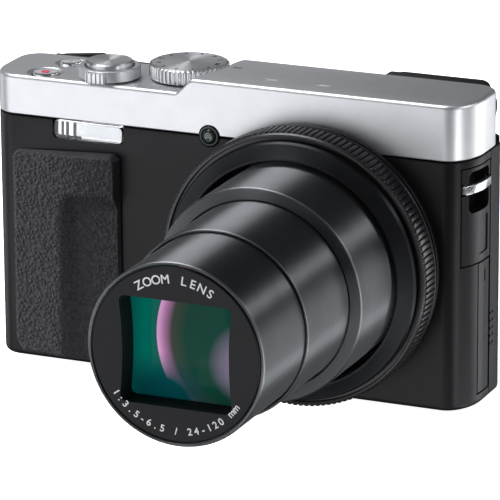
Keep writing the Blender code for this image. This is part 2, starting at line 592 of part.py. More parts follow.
def build_inside():
    holder = carve(box((-50.4, 3.4, 2.0), (-16.6, 18.4, 43.0)), [
        box((-49.4, 8.4, 0.0), (-17.6, 17.6, 42.2)), box((-46.0, 4.2, 0.0), (-21.0, 7.4, 37.0))])
    finish("battery_holder", holder, (-33.5, 11.0, 22.0), BLACK)
    cell = box((-49.1, 8.7, 2.4), (-17.9, 17.3, 41.6), 0.6)
    finish("battery", cell, (-33.5, 13.0, 22.0), CELL_GREY)
    card = [(-45.7, 3.6), (-21.3, 3.6), (-21.3, 35.6), (-42.5, 35.6), (-45.7, 32.4)]
    finish("memory_card", prism(card, 4.7, 6.8, "y"), (-33.5, 5.8, 20.0), CARD_BLUE)
    upright = box((-15.8, 3.0, 2.3), (-14.8, 17.0, 50.0))
    chassis = carve(box((-15.8, 3.0, 1.8), (46.0, 17.0, 2.8)), [upright], "UNION")
    chassis = carve(chassis, [disc_cutter(4.7, 0.0, 4.0, (TRIPOD_X, TRIPOD_Y, 0.0), "z", 24)])
    finish("chassis", chassis, (15.0, 10.0, 2.3), STEEL)
    motor = revolve([(0.0, 3.0), (1.0, 3.0), (1.0, 5.0), (4.0, 5.0), (4.0, 16.0), (0.0, 16.0)],
                    (-9.2, 0.0, 49.4), "y", 20, closed=False)
    finish("zoom_motor", motor, (-9.2, 10.0, 49.4), STEEL)
    finish("control_board", box((-50.5, 3.5, 58.6), (-4.0, 16.5, 59.6)), (-27.0, 10.0, 59.1), BOARD)


# ---------------------------------------------------------------- controls

def build_top_controls():
    bm = bmesh.new()
    loops = []
    for z, shrink in ((DIAL_BASE, 0.0), (DIAL_TOP - 0.4, 0.0), (DIAL_TOP, 0.5)):
        row = []
        for i in range(64):
            turn = 2.0 * math.pi * i / 64
            radius = DIAL_R - shrink - (0.25 if i % 2 else 0.0)
            across, deep = radius * math.cos(turn), radius * math.sin(turn)
            row.append(bm.verts.new((DIAL_X + across, DIAL_Y + deep, z)))
        loops.append(row)
    bm.faces.new(loops[0])
    bm.faces.new(loops[-1])
    ring_faces(bm, loops)
    stem = disc_cutter(3.0, 61.4, DIAL_BASE + 0.5, (DIAL_X, DIAL_Y, 0.0), "z", 20)
    finish("mode_dial", carve(bm, [stem], "UNION"), (DIAL_X, DIAL_Y, DIAL_BASE), SILVER)

    ring = revolve([(LEVER_BORE, 64.75), (LEVER_R, 64.75), (LEVER_R, 66.8), (LEVER_R - 0.4, 67.2),
                    (LEVER_BORE, 67.2)], (LEVER_X, LEVER_Y, 0.0), "z", 40)
    tab = rounded_rect(LEVER_X - 2.3, LEVER_X + 2.3, LEVER_Y - 8.0, LEVER_Y - 6.0, 0.4, 2)
    lever = carve(ring, [prism(tab, 64.75, 67.0, "z")], "UNION")
    finish("zoom_lever", lever, (LEVER_X, LEVER_Y, 64.75), SILVER)

    button = revolve([(0.0, 67.9), (3.0, 68.0), (4.6, 68.35), (5.1, 68.0), (5.1, 66.3), (2.1, 66.3),
                      (2.1, 61.8), (0.0, 61.8)], (LEVER_X, LEVER_Y, 0.0), "z", 32, closed=False)
    finish("shutter_button", button, (LEVER_X, LEVER_Y, 66.3), SILVER)

    for name, x, y, radius, top in (("power_button", POWER_X, POWER_Y, POWER_R, 64.9),
                                    ("record_button", RECORD_X, RECORD_Y, RECORD_R, 64.6)):
        cap = revolve([(0.0, top), (radius - 0.3, top), (radius, top - 0.3), (radius, 62.2), (0.0, 62.2)],
                      (x, y, 0.0), "z", 24, closed=False)
        finish(name, cap, (x, y, 62.2), SILVER)


def build_back_controls():
    bm = bmesh.new()
    loops = []
    for y, shrink in ((22.3, 0.0), (23.6, 0.0), (24.0, 0.4)):
        row = []
        for i in range(56):
            turn = 2.0 * math.pi * i / 56
            radius = WHEEL_R - shrink - (0.2 if i % 2 else 0.0)
            across, rise = radius * math.cos(turn), radius * math.sin(turn)
            row.append(bm.verts.new((WHEEL_X + across, y, WHEEL_Z + rise)))
        loops.append(row)
    bm.faces.new(loops[0])
    bm.faces.new(loops[-1])
    ring_faces(bm, loops)
    hole = disc_cutter(WHEEL_BORE, 20.0, 26.0, (WHEEL_X, 0.0, WHEEL_Z), "y", 32)
    finish("rear_dial", carve(bm, [hole]), (WHEEL_X, 23.2, WHEEL_Z), SATIN)

    set_key = revolve([(0.0, 24.0), (4.7, 24.0), (5.2, 23.5), (5.2, 22.9), (2.5, 22.9), (2.5, 20.3),
                       (0.0, 20.3)], (WHEEL_X, 0.0, WHEEL_Z), "y", 28, closed=False)
    finish("set_button", set_key, (WHEEL_X, 23.0, WHEEL_Z), SATIN)
    for name, (x, z) in BACK_KEYS.items():
        key = revolve([(0.0, 22.8), (KEY_R - 0.3, 22.8), (KEY_R, 22.5), (KEY_R, 20.7), (0.0, 20.7)],
                      (x, 0.0, z), "y", 20, closed=False)
        finish(name, key, (x, 22.0, z), SATIN)


def build_screen():
    panel = box((SCREEN_X[0], SCREEN_Y[0], SCREEN_Z[0]), (SCREEN_X[1], SCREEN_Y[1], SCREEN_Z[1]), 0.5)
    cutters = [prism(rounded_rect(-20.5, 49.5, 4.4, 52.2, 0.8, 2), 24.5, 28.0, "y")]
    for x in (2.0, 20.0):
        cutters.append(box((x - 0.4, 20.0, 52.7), (x + 8.4, 30.0, 60.0)))
    finish("screen_panel", carve(panel, cutters), (14.5, SCREEN_AXIS_Y, SCREEN_AXIS_Z), BLACK)
    glass = prism(rounded_rect(-20.2, 49.2, 4.7, 51.9, 0.6, 2), 24.75, 25.5, "y")
    finish("screen_glass", glass, (14.5, 25.1, 28.3), DARK_GLASS)

    hinge = box((0.0, 21.35, 49.0), (30.0, 21.95, 55.9))
    joins = []
    for x in (2.0, 20.0):
        joins.append(box((x, 21.6, 54.1), (x + 8.0, SCREEN_AXIS_Y, 55.7)))
        joins.append(disc_cutter(0.9, x, x + 8.0, (0.0, SCREEN_AXIS_Y, SCREEN_AXIS_Z), "x", 16))
    finish("screen_hinge", carve(hinge, joins, "UNION"), (15.0, 21.6, 52.0), STEEL)


def build_viewfinder():
    housing = prism(rounded_rect(27.0, 51.0, 57.0, 66.6, 1.4, 3), 20.3, 26.4, "y")
    housing = carve(housing, [prism(rounded_rect(33.0, 45.0, 58.6, 65.0, 1.0, 2), 18.0, 30.0, "y")])
    finish("viewfinder_housing", housing, (39.0, 23.3, 61.8), BLACK)
    cup = prism(rounded_rect(28.0, 50.0, 57.6, 66.0, 2.0, 3), 26.7, 29.2, "y")
    cup = carve(cup, [prism(rounded_rect(31.6, 46.4, 58.9, 64.7, 1.4, 3), 25.0, 31.0, "y")])
    finish("eyecup", cup, (39.0, 28.0, 61.8), RUBBER)
    eyepiece = prism(rounded_rect(33.3, 44.7, 58.9, 64.7, 0.8, 2), 24.6, 26.0, "y")
    finish("eyepiece_lens", eyepiece, (39.0, 25.3, 61.8), GLASS)
    finish("viewfinder_display", box((33.0, 9.0, 57.8), (45.0, 10.4, 65.6)), (39.0, 9.7, 61.7), DARK_GLASS)
    dial = revolve([(0.0, 51.3), (2.8, 51.3), (2.8, 52.3), (2.4, 52.7), (0.0, 52.7)],
                   (0.0, 23.3, 61.6), "x", 24, closed=False)
    finish("diopter_dial", dial, (52.0, 23.3, 61.6), SATIN)


clear_scene()
build_front_case()
build_rear_case()
build_top_cover()
build_base()
build_lug()
build_sockets()
build_grip()
build_thumb_rest()
build_flash()
build_lens()
build_inside()
build_top_controls()
build_back_controls()
build_screen()
build_viewfinder()
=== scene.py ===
"""Looks of the compact digital camera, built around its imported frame.

Meshes are drawn in millimetres in the frame's own axes (+X lens end, -Y out of the lens,
+Z up) and scaled to metres when an object is made.  Places come from the frame's nodes.
"""

import math

import bmesh
import bpy
from mathutils import Matrix, Vector, noise


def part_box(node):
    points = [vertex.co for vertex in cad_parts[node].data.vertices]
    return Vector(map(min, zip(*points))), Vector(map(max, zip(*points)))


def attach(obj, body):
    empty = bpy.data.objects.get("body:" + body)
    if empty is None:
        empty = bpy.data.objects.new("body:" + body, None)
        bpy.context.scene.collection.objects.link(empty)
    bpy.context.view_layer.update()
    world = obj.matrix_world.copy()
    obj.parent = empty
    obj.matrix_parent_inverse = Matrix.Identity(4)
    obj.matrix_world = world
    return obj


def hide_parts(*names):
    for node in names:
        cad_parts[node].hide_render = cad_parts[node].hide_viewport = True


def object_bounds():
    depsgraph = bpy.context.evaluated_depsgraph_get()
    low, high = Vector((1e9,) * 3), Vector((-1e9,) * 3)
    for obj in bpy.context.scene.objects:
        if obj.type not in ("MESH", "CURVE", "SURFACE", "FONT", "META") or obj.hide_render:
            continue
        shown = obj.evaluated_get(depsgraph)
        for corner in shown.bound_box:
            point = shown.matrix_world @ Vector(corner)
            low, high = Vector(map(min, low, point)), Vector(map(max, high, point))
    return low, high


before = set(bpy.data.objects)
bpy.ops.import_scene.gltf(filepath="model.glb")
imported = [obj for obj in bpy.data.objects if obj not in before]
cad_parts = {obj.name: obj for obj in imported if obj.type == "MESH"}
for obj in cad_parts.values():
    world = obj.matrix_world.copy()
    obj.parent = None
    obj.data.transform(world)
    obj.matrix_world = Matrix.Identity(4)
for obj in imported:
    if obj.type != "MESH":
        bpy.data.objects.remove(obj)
cad_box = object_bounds()

MM = 0.001
TAU = 2.0 * math.pi
ROUND = 144                           # sides of the large turned pieces
SHARP = math.radians(32.0)            # folds sharper than this aren't smoothed over
CUT_FACE = (-0.93, -0.25)             # how far a face on a cut rim may look along Y

# Driving sizes that the nodes' boxes don't give
WALL = 1.5                            # case
SKIN = 1.3                            # silver top
LEFT_CORNER = (6.0, 8.0)              # half axes in x and y, at the grip end
RIGHT_CORNER = (6.2, 9.8)             # the same at the lens end
REAR_CORNER = 4.0
TOP_REAR_CORNER = 5.2
FOOT = [(0.0, 0.8), (0.12, 0.45), (0.4, 0.16), (0.8, 0.03), (1.2, 0.0)]    # (height, inset)
LENS_HOLE = 26.0                      # radius of the opening in the case
RING_BORE = 27.6                      # inner radius of the control ring and its flange
LAMP_HOLE = 2.5
BACK_KEYS = ("playback_button", "delete_button", "view_button")
DIAL_WELL = 9.2                       # radius of the recess under the mode dial
MICROPHONES = (8.5, 20.5)             # x of the two slots in the raised top
SCREEN_HINGES = (2.0, 20.0)           # x of the two hinge knuckles' left ends
SCREEN_NOTCH = (8.0, 21.0)            # x of the finger notch under the screen
FINDER_WINDOW = (33.0, 45.0, 58.6, 65.0)                   # x and z of the finder's tunnel
EYECUP_HOLE = (31.6, 46.4, 58.9, 64.7)
BASE_SCREWS = [(34.0, -5.0), (34.0, 6.5), (49.0, 0.8), (8.0, 6.5)]
LIGHTS_AIM = Vector((0.012, -0.025, 0.035))                # in metres
GRIP_TALL = 46.0
CREASE, ARCH = 0.45, 0.83             # edges of the finger scoop, as shares of the grip
SCOOP_DEEP, SCOOP_SLOPE, SCOOP_CORNER = 2.1, 4.6, 5.0
GRAIN_DEEP = 0.17                     # creases in the grip's skin
HUMP_END, HUMP_PEAK = -49.6, -40.6    # where the hump behind the shelf starts and tops out
TOP_EDGE = 0.95                       # round on the silver top's upper edge
RING_TEETH, DIAL_TEETH, WHEEL_TEETH = 144, 48, 72
KNURL = (0.0, 0.0, 0.25, 1.0, 1.0, 0.25)                   # one tooth, as shares of its depth
RIBS = (0.0, 0.0, 0.0, 0.0, 0.06, 0.46, 0.46, 0.06)        # one flat rib and its groove


# ---------------------------------------------------------------- places from the frame

def span(node):
    """Lowest and highest corner of a CAD node, in millimetres."""
    low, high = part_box(node)
    return Vector(low) / MM, Vector(high) / MM


def middle(node):
    low, high = span(node)
    return 0.5 * (low + high)


CASE_LOW, CASE_HIGH = span("front_case")
REAR_LOW, REAR_HIGH = span("rear_case")
TOP_LOW, TOP_HIGH = span("top_cover")
FACE = CASE_LOW.y                      # plane of the front face
HALF = CASE_HIGH.x
LENS = middle("lens_tube_rear")
SHELF = span("power_button")[1].z - 0.5
RAISED = TOP_HIGH.z
DIAL = middle("mode_dial")
BUTTON = middle("shutter_button")
WHEEL = middle("set_button")


# ---------------------------------------------------------------- mesh tools

def clean(bm):
    bmesh.ops.remove_doubles(bm, verts=bm.verts, dist=1e-4)
    bmesh.ops.recalc_face_normals(bm, faces=bm.faces)
    return bm


def strip(bm, rows, closed=True):
    """Quads between successive rows of vertices."""
    for low, high in zip(rows, rows[1:]):
        count = len(low)
        for i in range(count if closed else count - 1):
            j = (i + 1) % count
            bm.faces.new((low[i], low[j], high[j], high[i]))


def rounded(profile, radius, steps=4, closed=True):
    """Round the corners of an outline; radius is one number, or one for each corner."""
    count = len(profile)
    radii = [radius] * count if isinstance(radius, (int, float)) else radius
    points = []
    for i, (corner, r) in enumerate(zip(profile, radii)):
        here = Vector(corner)
        if r <= 0.0 or (not closed and i in (0, count - 1)):
            points.append(here)
            continue
        back = Vector(profile[i - 1]) - here
        on = Vector(profile[(i + 1) % count]) - here
        reach = min(r, 0.48 * back.length, 0.48 * on.length)
        start, end = here + back.normalized() * reach, here + on.normalized() * reach
        for k in range(steps + 1):
            t = k / steps
            points.append(start * (1 - t) ** 2 + here * 2 * t * (1 - t) + end * t * t)
    return [tuple(p) for p in points]


def about(axis, centre, a, b, along):
    """The point a and b across an axis through centre, and that far along it."""
    cx, cy, cz = centre
    spots = {"x": (along, cy + a, cz + b), "y": (cx + a, along, cz + b), "z": (cx + a, cy + b, along)}
    return spots[axis]


def turned(profile, centre, axis, segments=ROUND, closed=True):
    """Spin a (radius, along) profile about an axis through centre; radius 0 is a point."""
    bm = bmesh.new()
    rows = []
    for radius, along in profile:
        turns = [TAU * i / segments for i in range(segments if radius > 0.0 else 1)]
        rows.append([bm.verts.new(about(axis, centre, radius * math.cos(t), radius * math.sin(t), along))
                     for t in turns])
    pairs = list(zip(rows, rows[1:])) + ([(rows[-1], rows[0])] if closed else [])
    for low, high in pairs:
        if len(low) == len(high) == 1:
            continue
        for i in range(segments):
            j = (i + 1) % segments
            quad = [low[i % len(low)], low[j % len(low)], high[j % len(high)], high[i % len(high)]]
            bm.faces.new(list(dict.fromkeys(quad)))
    return clean(bm)


def toothed(levels, centre, axis, teeth, depth, wave=KNURL, capped=True):
    """A knurled knob, or a ring if not capped: levels are (along, radius, share of the depth)."""
    count = teeth * len(wave)
    bm = bmesh.new()
    rows = []
    for along, radius, share in levels:
        row = []
        for i in range(count):
            turn, r = TAU * i / count, radius - depth * share * wave[i % len(wave)]
            row.append(bm.verts.new(about(axis, centre, r * math.cos(turn), r * math.sin(turn), along)))
        rows.append(row)
    if capped:
        strip(bm, rows)
        bm.faces.new(rows[0])
        bm.faces.new(rows[-1])
    else:
        strip(bm, rows + [rows[0]])
    return clean(bm)


def prism(outline, start, end, axis, edge=0.0):
    """Sweep a flat outline along an axis; edge rounds both rims."""
    bm = bmesh.new()
    spot = {"x": lambda u, v, w: (w, u, v), "y": lambda u, v, w: (u, w, v),
            "z": lambda u, v, w: (u, v, w)}[axis]
    rows = [[bm.verts.new(spot(u, v, w)) for u, v in outline] for w in (start, end)]
    bm.faces.new(rows[0])
    bm.faces.new(rows[1])
    strip(bm, rows)
    clean(bm)
    if edge:
        rim = [e for e in bm.edges if e.calc_face_angle(0.0) > math.radians(60.0)]
        bmesh.ops.bevel(bm, geom=rim, offset=edge, segments=3, affect="EDGES", profile=0.5)
    return clean(bm)


def block(low, high, edge=0.0):
    outline = [(low[0], low[1]), (high[0], low[1]), (high[0], high[1]), (low[0], high[1])]
    return prism(outline, low[2], high[2], "z", edge)


def slab(u0, u1, v0, v1, radius, steps=6):
    """Outline of a rectangle with round corners."""
    points = []
    for cu, cv, begin in ((u1 - radius, v0 + radius, -90), (u1 - radius, v1 - radius, 0),
                          (u0 + radius, v1 - radius, 90), (u0 + radius, v0 + radius, 180)):
        points += arc(cu, cv, radius, radius, begin, begin + 90, steps)
    return points


def arc(cx, cy, rx, ry, begin, end, steps):
    turns = [math.radians(begin + (end - begin) * k / steps) for k in range(steps + 1)]
    return [(cx + rx * math.cos(t), cy + ry * math.sin(t)) for t in turns]


def disc(radius, start, end, centre, axis, segments=48):
    return turned([(0.0, start), (radius, start), (radius, end), (0.0, end)],
                  centre, axis, segments, closed=False)


def plate(u0, u1, v0, v1, radius, start, end, axis, edge=0.0):
    """A flat piece with round corners."""
    outline = slab(u0, u1, v0, v1, radius)
    return prism(outline, start, end, axis, edge)


def front_hole(radius, spot, segments=48):
    """Cutter for a round hole in the front wall."""
    return disc(radius, FACE - 2.0, FACE + 4.0, spot, "y", segments)


def back_hole(radius, spot, segments=48):
    return disc(radius, 7.0, 15.0, spot, "y", segments)


def top_hole(radius, spot):
    return disc(radius, 60.0, 75.0, spot, "z")


def carve(bm, cutters, operation="DIFFERENCE"):
    """Cut solids out of a mesh, or join them to it."""
    def as_object(name, source):
        mesh = bpy.data.meshes.new(name)
        source.to_mesh(mesh)
        source.free()
        obj = bpy.data.objects.new(name, mesh)
        bpy.context.scene.collection.objects.link(obj)
        return obj

    blank = as_object("blank", bm)
    tools = [as_object("tool", cutter) for cutter in cutters]
    for tool in tools:
        step = blank.modifiers.new("cut", "BOOLEAN")
        step.operation, step.solver, step.object = operation, "EXACT", tool
    graph = bpy.context.evaluated_depsgraph_get()
    out = bmesh.new()
    out.from_mesh(bpy.data.meshes.new_from_object(blank.evaluated_get(graph)))
    for obj in [blank] + tools:
        bpy.data.objects.remove(obj, do_unlink=True)
    bmesh.ops.dissolve_degenerate(out, edges=out.edges, dist=1e-4)
    bmesh.ops.holes_fill(clean(out), edges=[e for e in out.edges if e.is_boundary], sides=0)
    return clean(out)


def joined(*parts):
    """Several meshes as one."""
    out = bmesh.new()
    for part in parts:
        mesh = bpy.data.meshes.new("part")
        part.to_mesh(mesh)
        part.free()
        out.from_mesh(mesh)
        bpy.data.meshes.remove(mesh)
    return out


def piece(name, bm, body, look, stands_for=(), edge=0.0, rim=None):
    """Make a finished object of a mesh drawn in millimetres; rim is (look, start, end of its depth)."""
    bm.transform(Matrix.Scale(MM, 4))
    mesh = bpy.data.meshes.new(name)
    bm.to_mesh(mesh)
    bm.free()
    mesh.shade_smooth()
    mesh.set_sharp_from_angle(angle=SHARP)
    mesh.materials.append(look)
    if rim:
        rim_look, start, end = rim
        mesh.materials.append(rim_look)
        for face in mesh.polygons:
            if start <= face.center.y / MM <= end and CUT_FACE[0] < face.normal.y < CUT_FACE[1]:
                face.material_index = 1
    obj = bpy.data.objects.new(name, mesh)
    bpy.context.scene.collection.objects.link(obj)
    if edge:
        soften = obj.modifiers.new("soften", "BEVEL")
        soften.width, soften.segments, soften.limit_method = edge * MM, 2, "ANGLE"
        soften.angle_limit, soften.harden_normals = math.radians(40.0), True
    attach(obj, body)
    if stands_for:
        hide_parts(*stands_for)
    return obj


# ---------------------------------------------------------------- materials

def adjust(node, settings):
    for key, value in settings.items():
        node.inputs[key].default_value = value


def graph_of(name, settings):
    """A new material, its nodes and its shader, with the constants on the shader's own sockets."""
    mat = bpy.data.materials.new(name)
    mat.use_nodes = True
    shader = mat.node_tree.nodes["Principled BSDF"]
    adjust(shader, settings)
    return mat, mat.node_tree, shader


def added(tree, kind, settings):
    node = tree.nodes.new("ShaderNode" + kind)
    adjust(node, settings)
    return node


def own_place(tree):
    return added(tree, "TexCoord", {}).outputs["Object"]


def grain(tree, scale, detail=3.0, stretch=(1.0, 1.0, 1.0)):
    """Noise in the object's own coordinates; scale is in features per metre."""
    scaled = added(tree, "Mapping", {"Scale": stretch})
    tex = added(tree, "TexNoise", {"Scale": scale, "Detail": detail, "Roughness": 0.55})
    tree.links.new(own_place(tree), scaled.inputs["Vector"])
    tree.links.new(scaled.outputs["Vector"], tex.inputs["Vector"])
    return tex.outputs["Fac"]


def mapped(tree, value, low, high, start=0.3, stop=0.7):
    node = added(tree, "MapRange", {"From Min": start, "From Max": stop, "To Min": low, "To Max": high})
    tree.links.new(value, node.inputs["Value"])
    return node.outputs["Result"]


def bumped(tree, shader, height, depth, strength=1.0):
    """depth is the height of the relief in metres."""
    node = added(tree, "Bump", {"Strength": strength, "Distance": depth})
    tree.links.new(height, node.inputs["Height"])
    tree.links.new(node.outputs["Normal"], shader.inputs["Normal"])


def ramped(tree, value, stops):
    """A colour for each value, blended between the stops."""
    node = added(tree, "ValToRGB", {})
    elements = node.color_ramp.elements
    while len(elements) < len(stops):
        elements.new(0.5)
    for element, (spot, colour) in zip(elements, stops):
        element.position, element.color = spot, (*colour, 1.0)
    tree.links.new(value, node.inputs["Fac"])
    return node.outputs["Color"]


def tinted(tree, shader, value, dark, light):
    tree.links.new(ramped(tree, value, [(0.3, dark), (0.7, light)]), shader.inputs["Base Color"])


def surface(name, dark, light, rough, metal=0.0, scale=2500.0, depth=6e-6,
            stretch=(1.0, 1.0, 1.0), blotch=60.0, coat=0.0, gloss=0.5):
    """A solid surface: slow colour drift, fine relief and a roughness that varies."""
    mat, tree, shader = graph_of(name, {"Metallic": metal, "Specular IOR Level": gloss,
                                        "Coat Weight": coat, "Coat Roughness": 0.12})
    fine = grain(tree, scale, 3.0, stretch)
    tinted(tree, shader, grain(tree, blotch, 4.0), dark, light)
    tree.links.new(mapped(tree, fine, *rough), shader.inputs["Roughness"])
    bumped(tree, shader, fine, depth)
    return mat


def glass(name, tint):
    mat, tree, shader = graph_of(name, {"Base Color": (*tint, 1.0), "Transmission Weight": 1.0, "IOR": 1.49})
    tree.links.new(mapped(tree, grain(tree, 900.0), 0.02, 0.04), shader.inputs["Roughness"])
    return mat


def spun(name, dark, light, rough, axis, pull=0.85):
    """Metal turned on a lathe: its shine is drawn out across the turning marks."""
    mat, tree, shader = graph_of(name, {"Metallic": 1.0, "Anisotropic": pull, "Anisotropic Rotation": 0.25})
    round_way = added(tree, "Tangent", {})
    round_way.direction_type, round_way.axis = "RADIAL", axis
    tree.links.new(round_way.outputs["Tangent"], shader.inputs["Tangent"])
    tinted(tree, shader, grain(tree, 160.0, 4.0), dark, light)
    tree.links.new(mapped(tree, grain(tree, 2600.0), *rough), shader.inputs["Roughness"])
    return mat


CASE_BLACK = surface("case_black", (0.0045, 0.0047, 0.0055), (0.0065, 0.0068, 0.0078),
                     (0.34, 0.44), scale=3600.0, depth=9e-6, gloss=0.26)
SILVER = surface("anodised_silver", (0.73, 0.735, 0.755), (0.77, 0.775, 0.795), (0.40, 0.46),
                 0.95, scale=4200.0, depth=7e-6, blotch=220.0)
SPUN_SILVER = surface("spun_silver", (0.76, 0.765, 0.78), (0.80, 0.805, 0.82), (0.20, 0.24),
                      0.95, scale=6000.0, depth=2e-7)
SPUN_TOP = spun("lathe_cut_silver", (0.72, 0.725, 0.745), (0.84, 0.845, 0.86), (0.36, 0.44), "Z",
                pull=0.7)
TUBE_BLACK = spun("tube_black", (0.165, 0.172, 0.178), (0.185, 0.192, 0.198), (0.50, 0.56), "Y",
                  pull=1.0)
BEZEL_BLACK = spun("bezel_black", (0.030, 0.031, 0.034), (0.038, 0.039, 0.042), (0.40, 0.46), "Y",
                   pull=0.7)
CUT_RIM = surface("cut_rim", (0.19, 0.194, 0.20), (0.23, 0.234, 0.24), (0.32, 0.38), 1.0,
                  depth=3e-7)
RING_BLACK = surface("ring_black", (0.007, 0.0073, 0.0085), (0.011, 0.0114, 0.0128),
                     (0.28, 0.38), scale=2600.0, depth=3e-6, gloss=0.6)
PLATE_BLACK = surface("plate_black", (0.006, 0.0063, 0.0073), (0.008, 0.0083, 0.0094),
                      (0.36, 0.44), scale=5200.0, depth=5e-6, gloss=0.22)
DULL_BLACK = surface("dull_black", (0.002, 0.002, 0.0024), (0.004, 0.004, 0.0045),
                     (0.45, 0.65), gloss=0.3)
KEY_BLACK = surface("key_black", (0.010, 0.0105, 0.012), (0.016, 0.0165, 0.018), (0.24, 0.34))
RUBBER = surface("soft_rubber", (0.010, 0.010, 0.0105), (0.016, 0.016, 0.017), (0.62, 0.78),
                 scale=2200.0, depth=1.6e-5)
BRIGHT_STEEL = surface("bright_steel", (0.66, 0.67, 0.69), (0.78, 0.79, 0.80), (0.16, 0.28),
                       0.9, scale=1500.0, depth=3e-6, stretch=(1.0, 6.0, 1.0))
BRASS = surface("turned_brass", (0.55, 0.36, 0.13), (0.72, 0.50, 0.22), (0.22, 0.34), 1.0,
                scale=1600.0, depth=3e-6)
BOARD = surface("solder_mask", (0.010, 0.08, 0.035), (0.016, 0.13, 0.055), (0.28, 0.4), coat=0.3)
CELL = surface("cell_wrap", (0.06, 0.06, 0.065), (0.09, 0.09, 0.1), (0.4, 0.5))
CARD = surface("card_plastic", (0.012, 0.03, 0.13), (0.02, 0.05, 0.2), (0.35, 0.45))
WHITE_PRINT = surface("white_print", (0.70, 0.70, 0.71), (0.80, 0.80, 0.81), (0.45, 0.55),
                      depth=1e-6)
GREY_PRINT = surface("grey_print", (0.025, 0.025, 0.028), (0.04, 0.04, 0.044), (0.45, 0.55),
                     depth=1e-6)
RED_MARK = surface("red_mark", (0.62, 0.012, 0.05), (0.80, 0.03, 0.09), (0.28, 0.36), depth=1e-6)
LAMP_WHITE = surface("lamp_white", (0.82, 0.84, 0.86), (0.93, 0.94, 0.95), (0.25, 0.4),
                     blotch=300.0)
CLEAR = glass("clear_window", (0.97, 0.98, 0.99))
SMOKED = surface("smoked_glass", (0.006, 0.014, 0.013), (0.012, 0.026, 0.024), (0.04, 0.07),
                 depth=5e-7, coat=1.0)
DISPLAY = surface("display_glass", (0.0035, 0.0035, 0.0042), (0.005, 0.005, 0.006), (0.03, 0.06),
                  depth=3e-7, coat=1.0)


def leather():
    """Black rubber skin: a fine pebble, over creases that are in the mesh."""
    mat, tree, shader = graph_of("grip_leather", {"Specular IOR Level": 0.12})
    cells = added(tree, "TexVoronoi", {"Scale": 2900.0})
    cells.feature = "DISTANCE_TO_EDGE"
    tree.links.new(own_place(tree), cells.inputs["Vector"])
    tinted(tree, shader, grain(tree, 1100.0, 4.0), (0.027, 0.027, 0.030), (0.045, 0.045, 0.049))
    pebble = mapped(tree, cells.outputs["Distance"], 0.0, 1.0, 0.0, 0.3)
    tree.links.new(mapped(tree, pebble, 0.60, 0.42, 0.0, 1.0), shader.inputs["Roughness"])
    bumped(tree, shader, pebble, 1.6e-5, 0.7)
    return mat


def distance(tree, here, spot):
    """How far each point is, in metres, from a spot given in millimetres."""
    node = added(tree, "VectorMath", {})
    node.operation = "DISTANCE"
    node.inputs[1].default_value = [c * MM for c in spot]
    tree.links.new(here, node.inputs[0])
    return node.outputs["Value"]


def faded(tree, here, spot, near, far, colour_near, base):
    """Mix a colour over a base by distance from a spot, all in millimetres."""
    share = mapped(tree, distance(tree, here, spot), 1.0, 0.0, near * MM, far * MM)
    mix = tree.nodes.new("ShaderNodeMix")
    mix.data_type = "RGBA"
    mix.inputs[7].default_value = (*colour_near, 1.0)
    tree.links.new(share, mix.inputs[0])
    tree.links.new(base, mix.inputs[6])
    return mix.outputs[2]


def lens_painted_reflections():
    """Dark glass with painted reflections: the green shown by its coatings and the rose edge of an inner
    element are painted into its colour, and that colour glows as well.
    """
    # Emission makes the painted reflections glow; the glass is no lamp.
    mat, tree, shader = graph_of("lens_painted_reflections", {"Emission Strength": 0.6, "Roughness": 0.10,
                                                 "Specular IOR Level": 0.05})
    here = own_place(tree)
    plane = span("front_lens")[0].y
    # Distance from the centre of the painted rose reflection of an inner element's edge.
    from_painted_rose = distance(tree, here, (LENS.x + 18.5, plane, LENS.z + 3.0))
    stops = [(0.0, (0.004, 0.050, 0.038)), (0.48, (0.005, 0.040, 0.026)),
             (0.585, (0.035, 0.040, 0.032)), (0.645, (0.30, 0.13, 0.26)),
             (0.697, (0.56, 0.29, 0.52)), (0.703, (0.002, 0.085, 0.062)),
             (0.80, (0.0, 0.120, 0.090)), (1.0, (0.002, 0.10, 0.075))]
    colour = ramped(tree, mapped(tree, from_painted_rose, 0.0, 1.0, 0.004, 0.0335), stops)
    # Two painted reflection patches: a dark teal one low on the left and a rose one right of centre.
    colour = faded(tree, here, (LENS.x - 5.0, plane, LENS.z - 13.0), 6.0, 12.0,
                   (0.001, 0.045, 0.050), colour)
    colour = faded(tree, here, (LENS.x + 15.0, plane, LENS.z - 2.5), 3.5, 10.0,
                   (0.26, 0.18, 0.30), colour)
    tree.links.new(colour, shader.inputs["Base Color"])
    # The same painted colour drives the emission, so the painted reflections glow.
    tree.links.new(colour, shader.inputs["Emission Color"])
    return mat


LEATHER = leather()
LENS_REFLECTION_PAINT = lens_painted_reflections()


# ---------------------------------------------------------------- printing

def glyph(text, size):
    """A short text as a thin flat mesh in the XY plane, centred, millimetres."""
    curve = bpy.data.curves.new("glyph", "FONT")
    curve.body, curve.size, curve.align_x, curve.align_y = text, size, "CENTER", "CENTER"
    curve.extrude, curve.offset = 0.02, 0.035
    obj = bpy.data.objects.new("glyph", curve)
    bpy.context.scene.collection.objects.link(obj)
    graph = bpy.context.evaluated_depsgraph_get()
    bm = bmesh.new()
    bm.from_mesh(bpy.data.meshes.new_from_object(obj.evaluated_get(graph)))
    bpy.data.objects.remove(obj, do_unlink=True)
    return bm


def placed(bm, matrix):
    bm.transform(matrix)
    return bm


# Text on a face that looks along -Y, +Y, +Z: columns are the text's right, up and out.
FRONTWARD = Matrix(((1, 0, 0), (0, 0, -1), (0, 1, 0))).to_4x4()
BACKWARD = Matrix(((-1, 0, 0), (0, 0, 1), (0, 1, 0))).to_4x4()
UPWARD = Matrix.Identity(4)


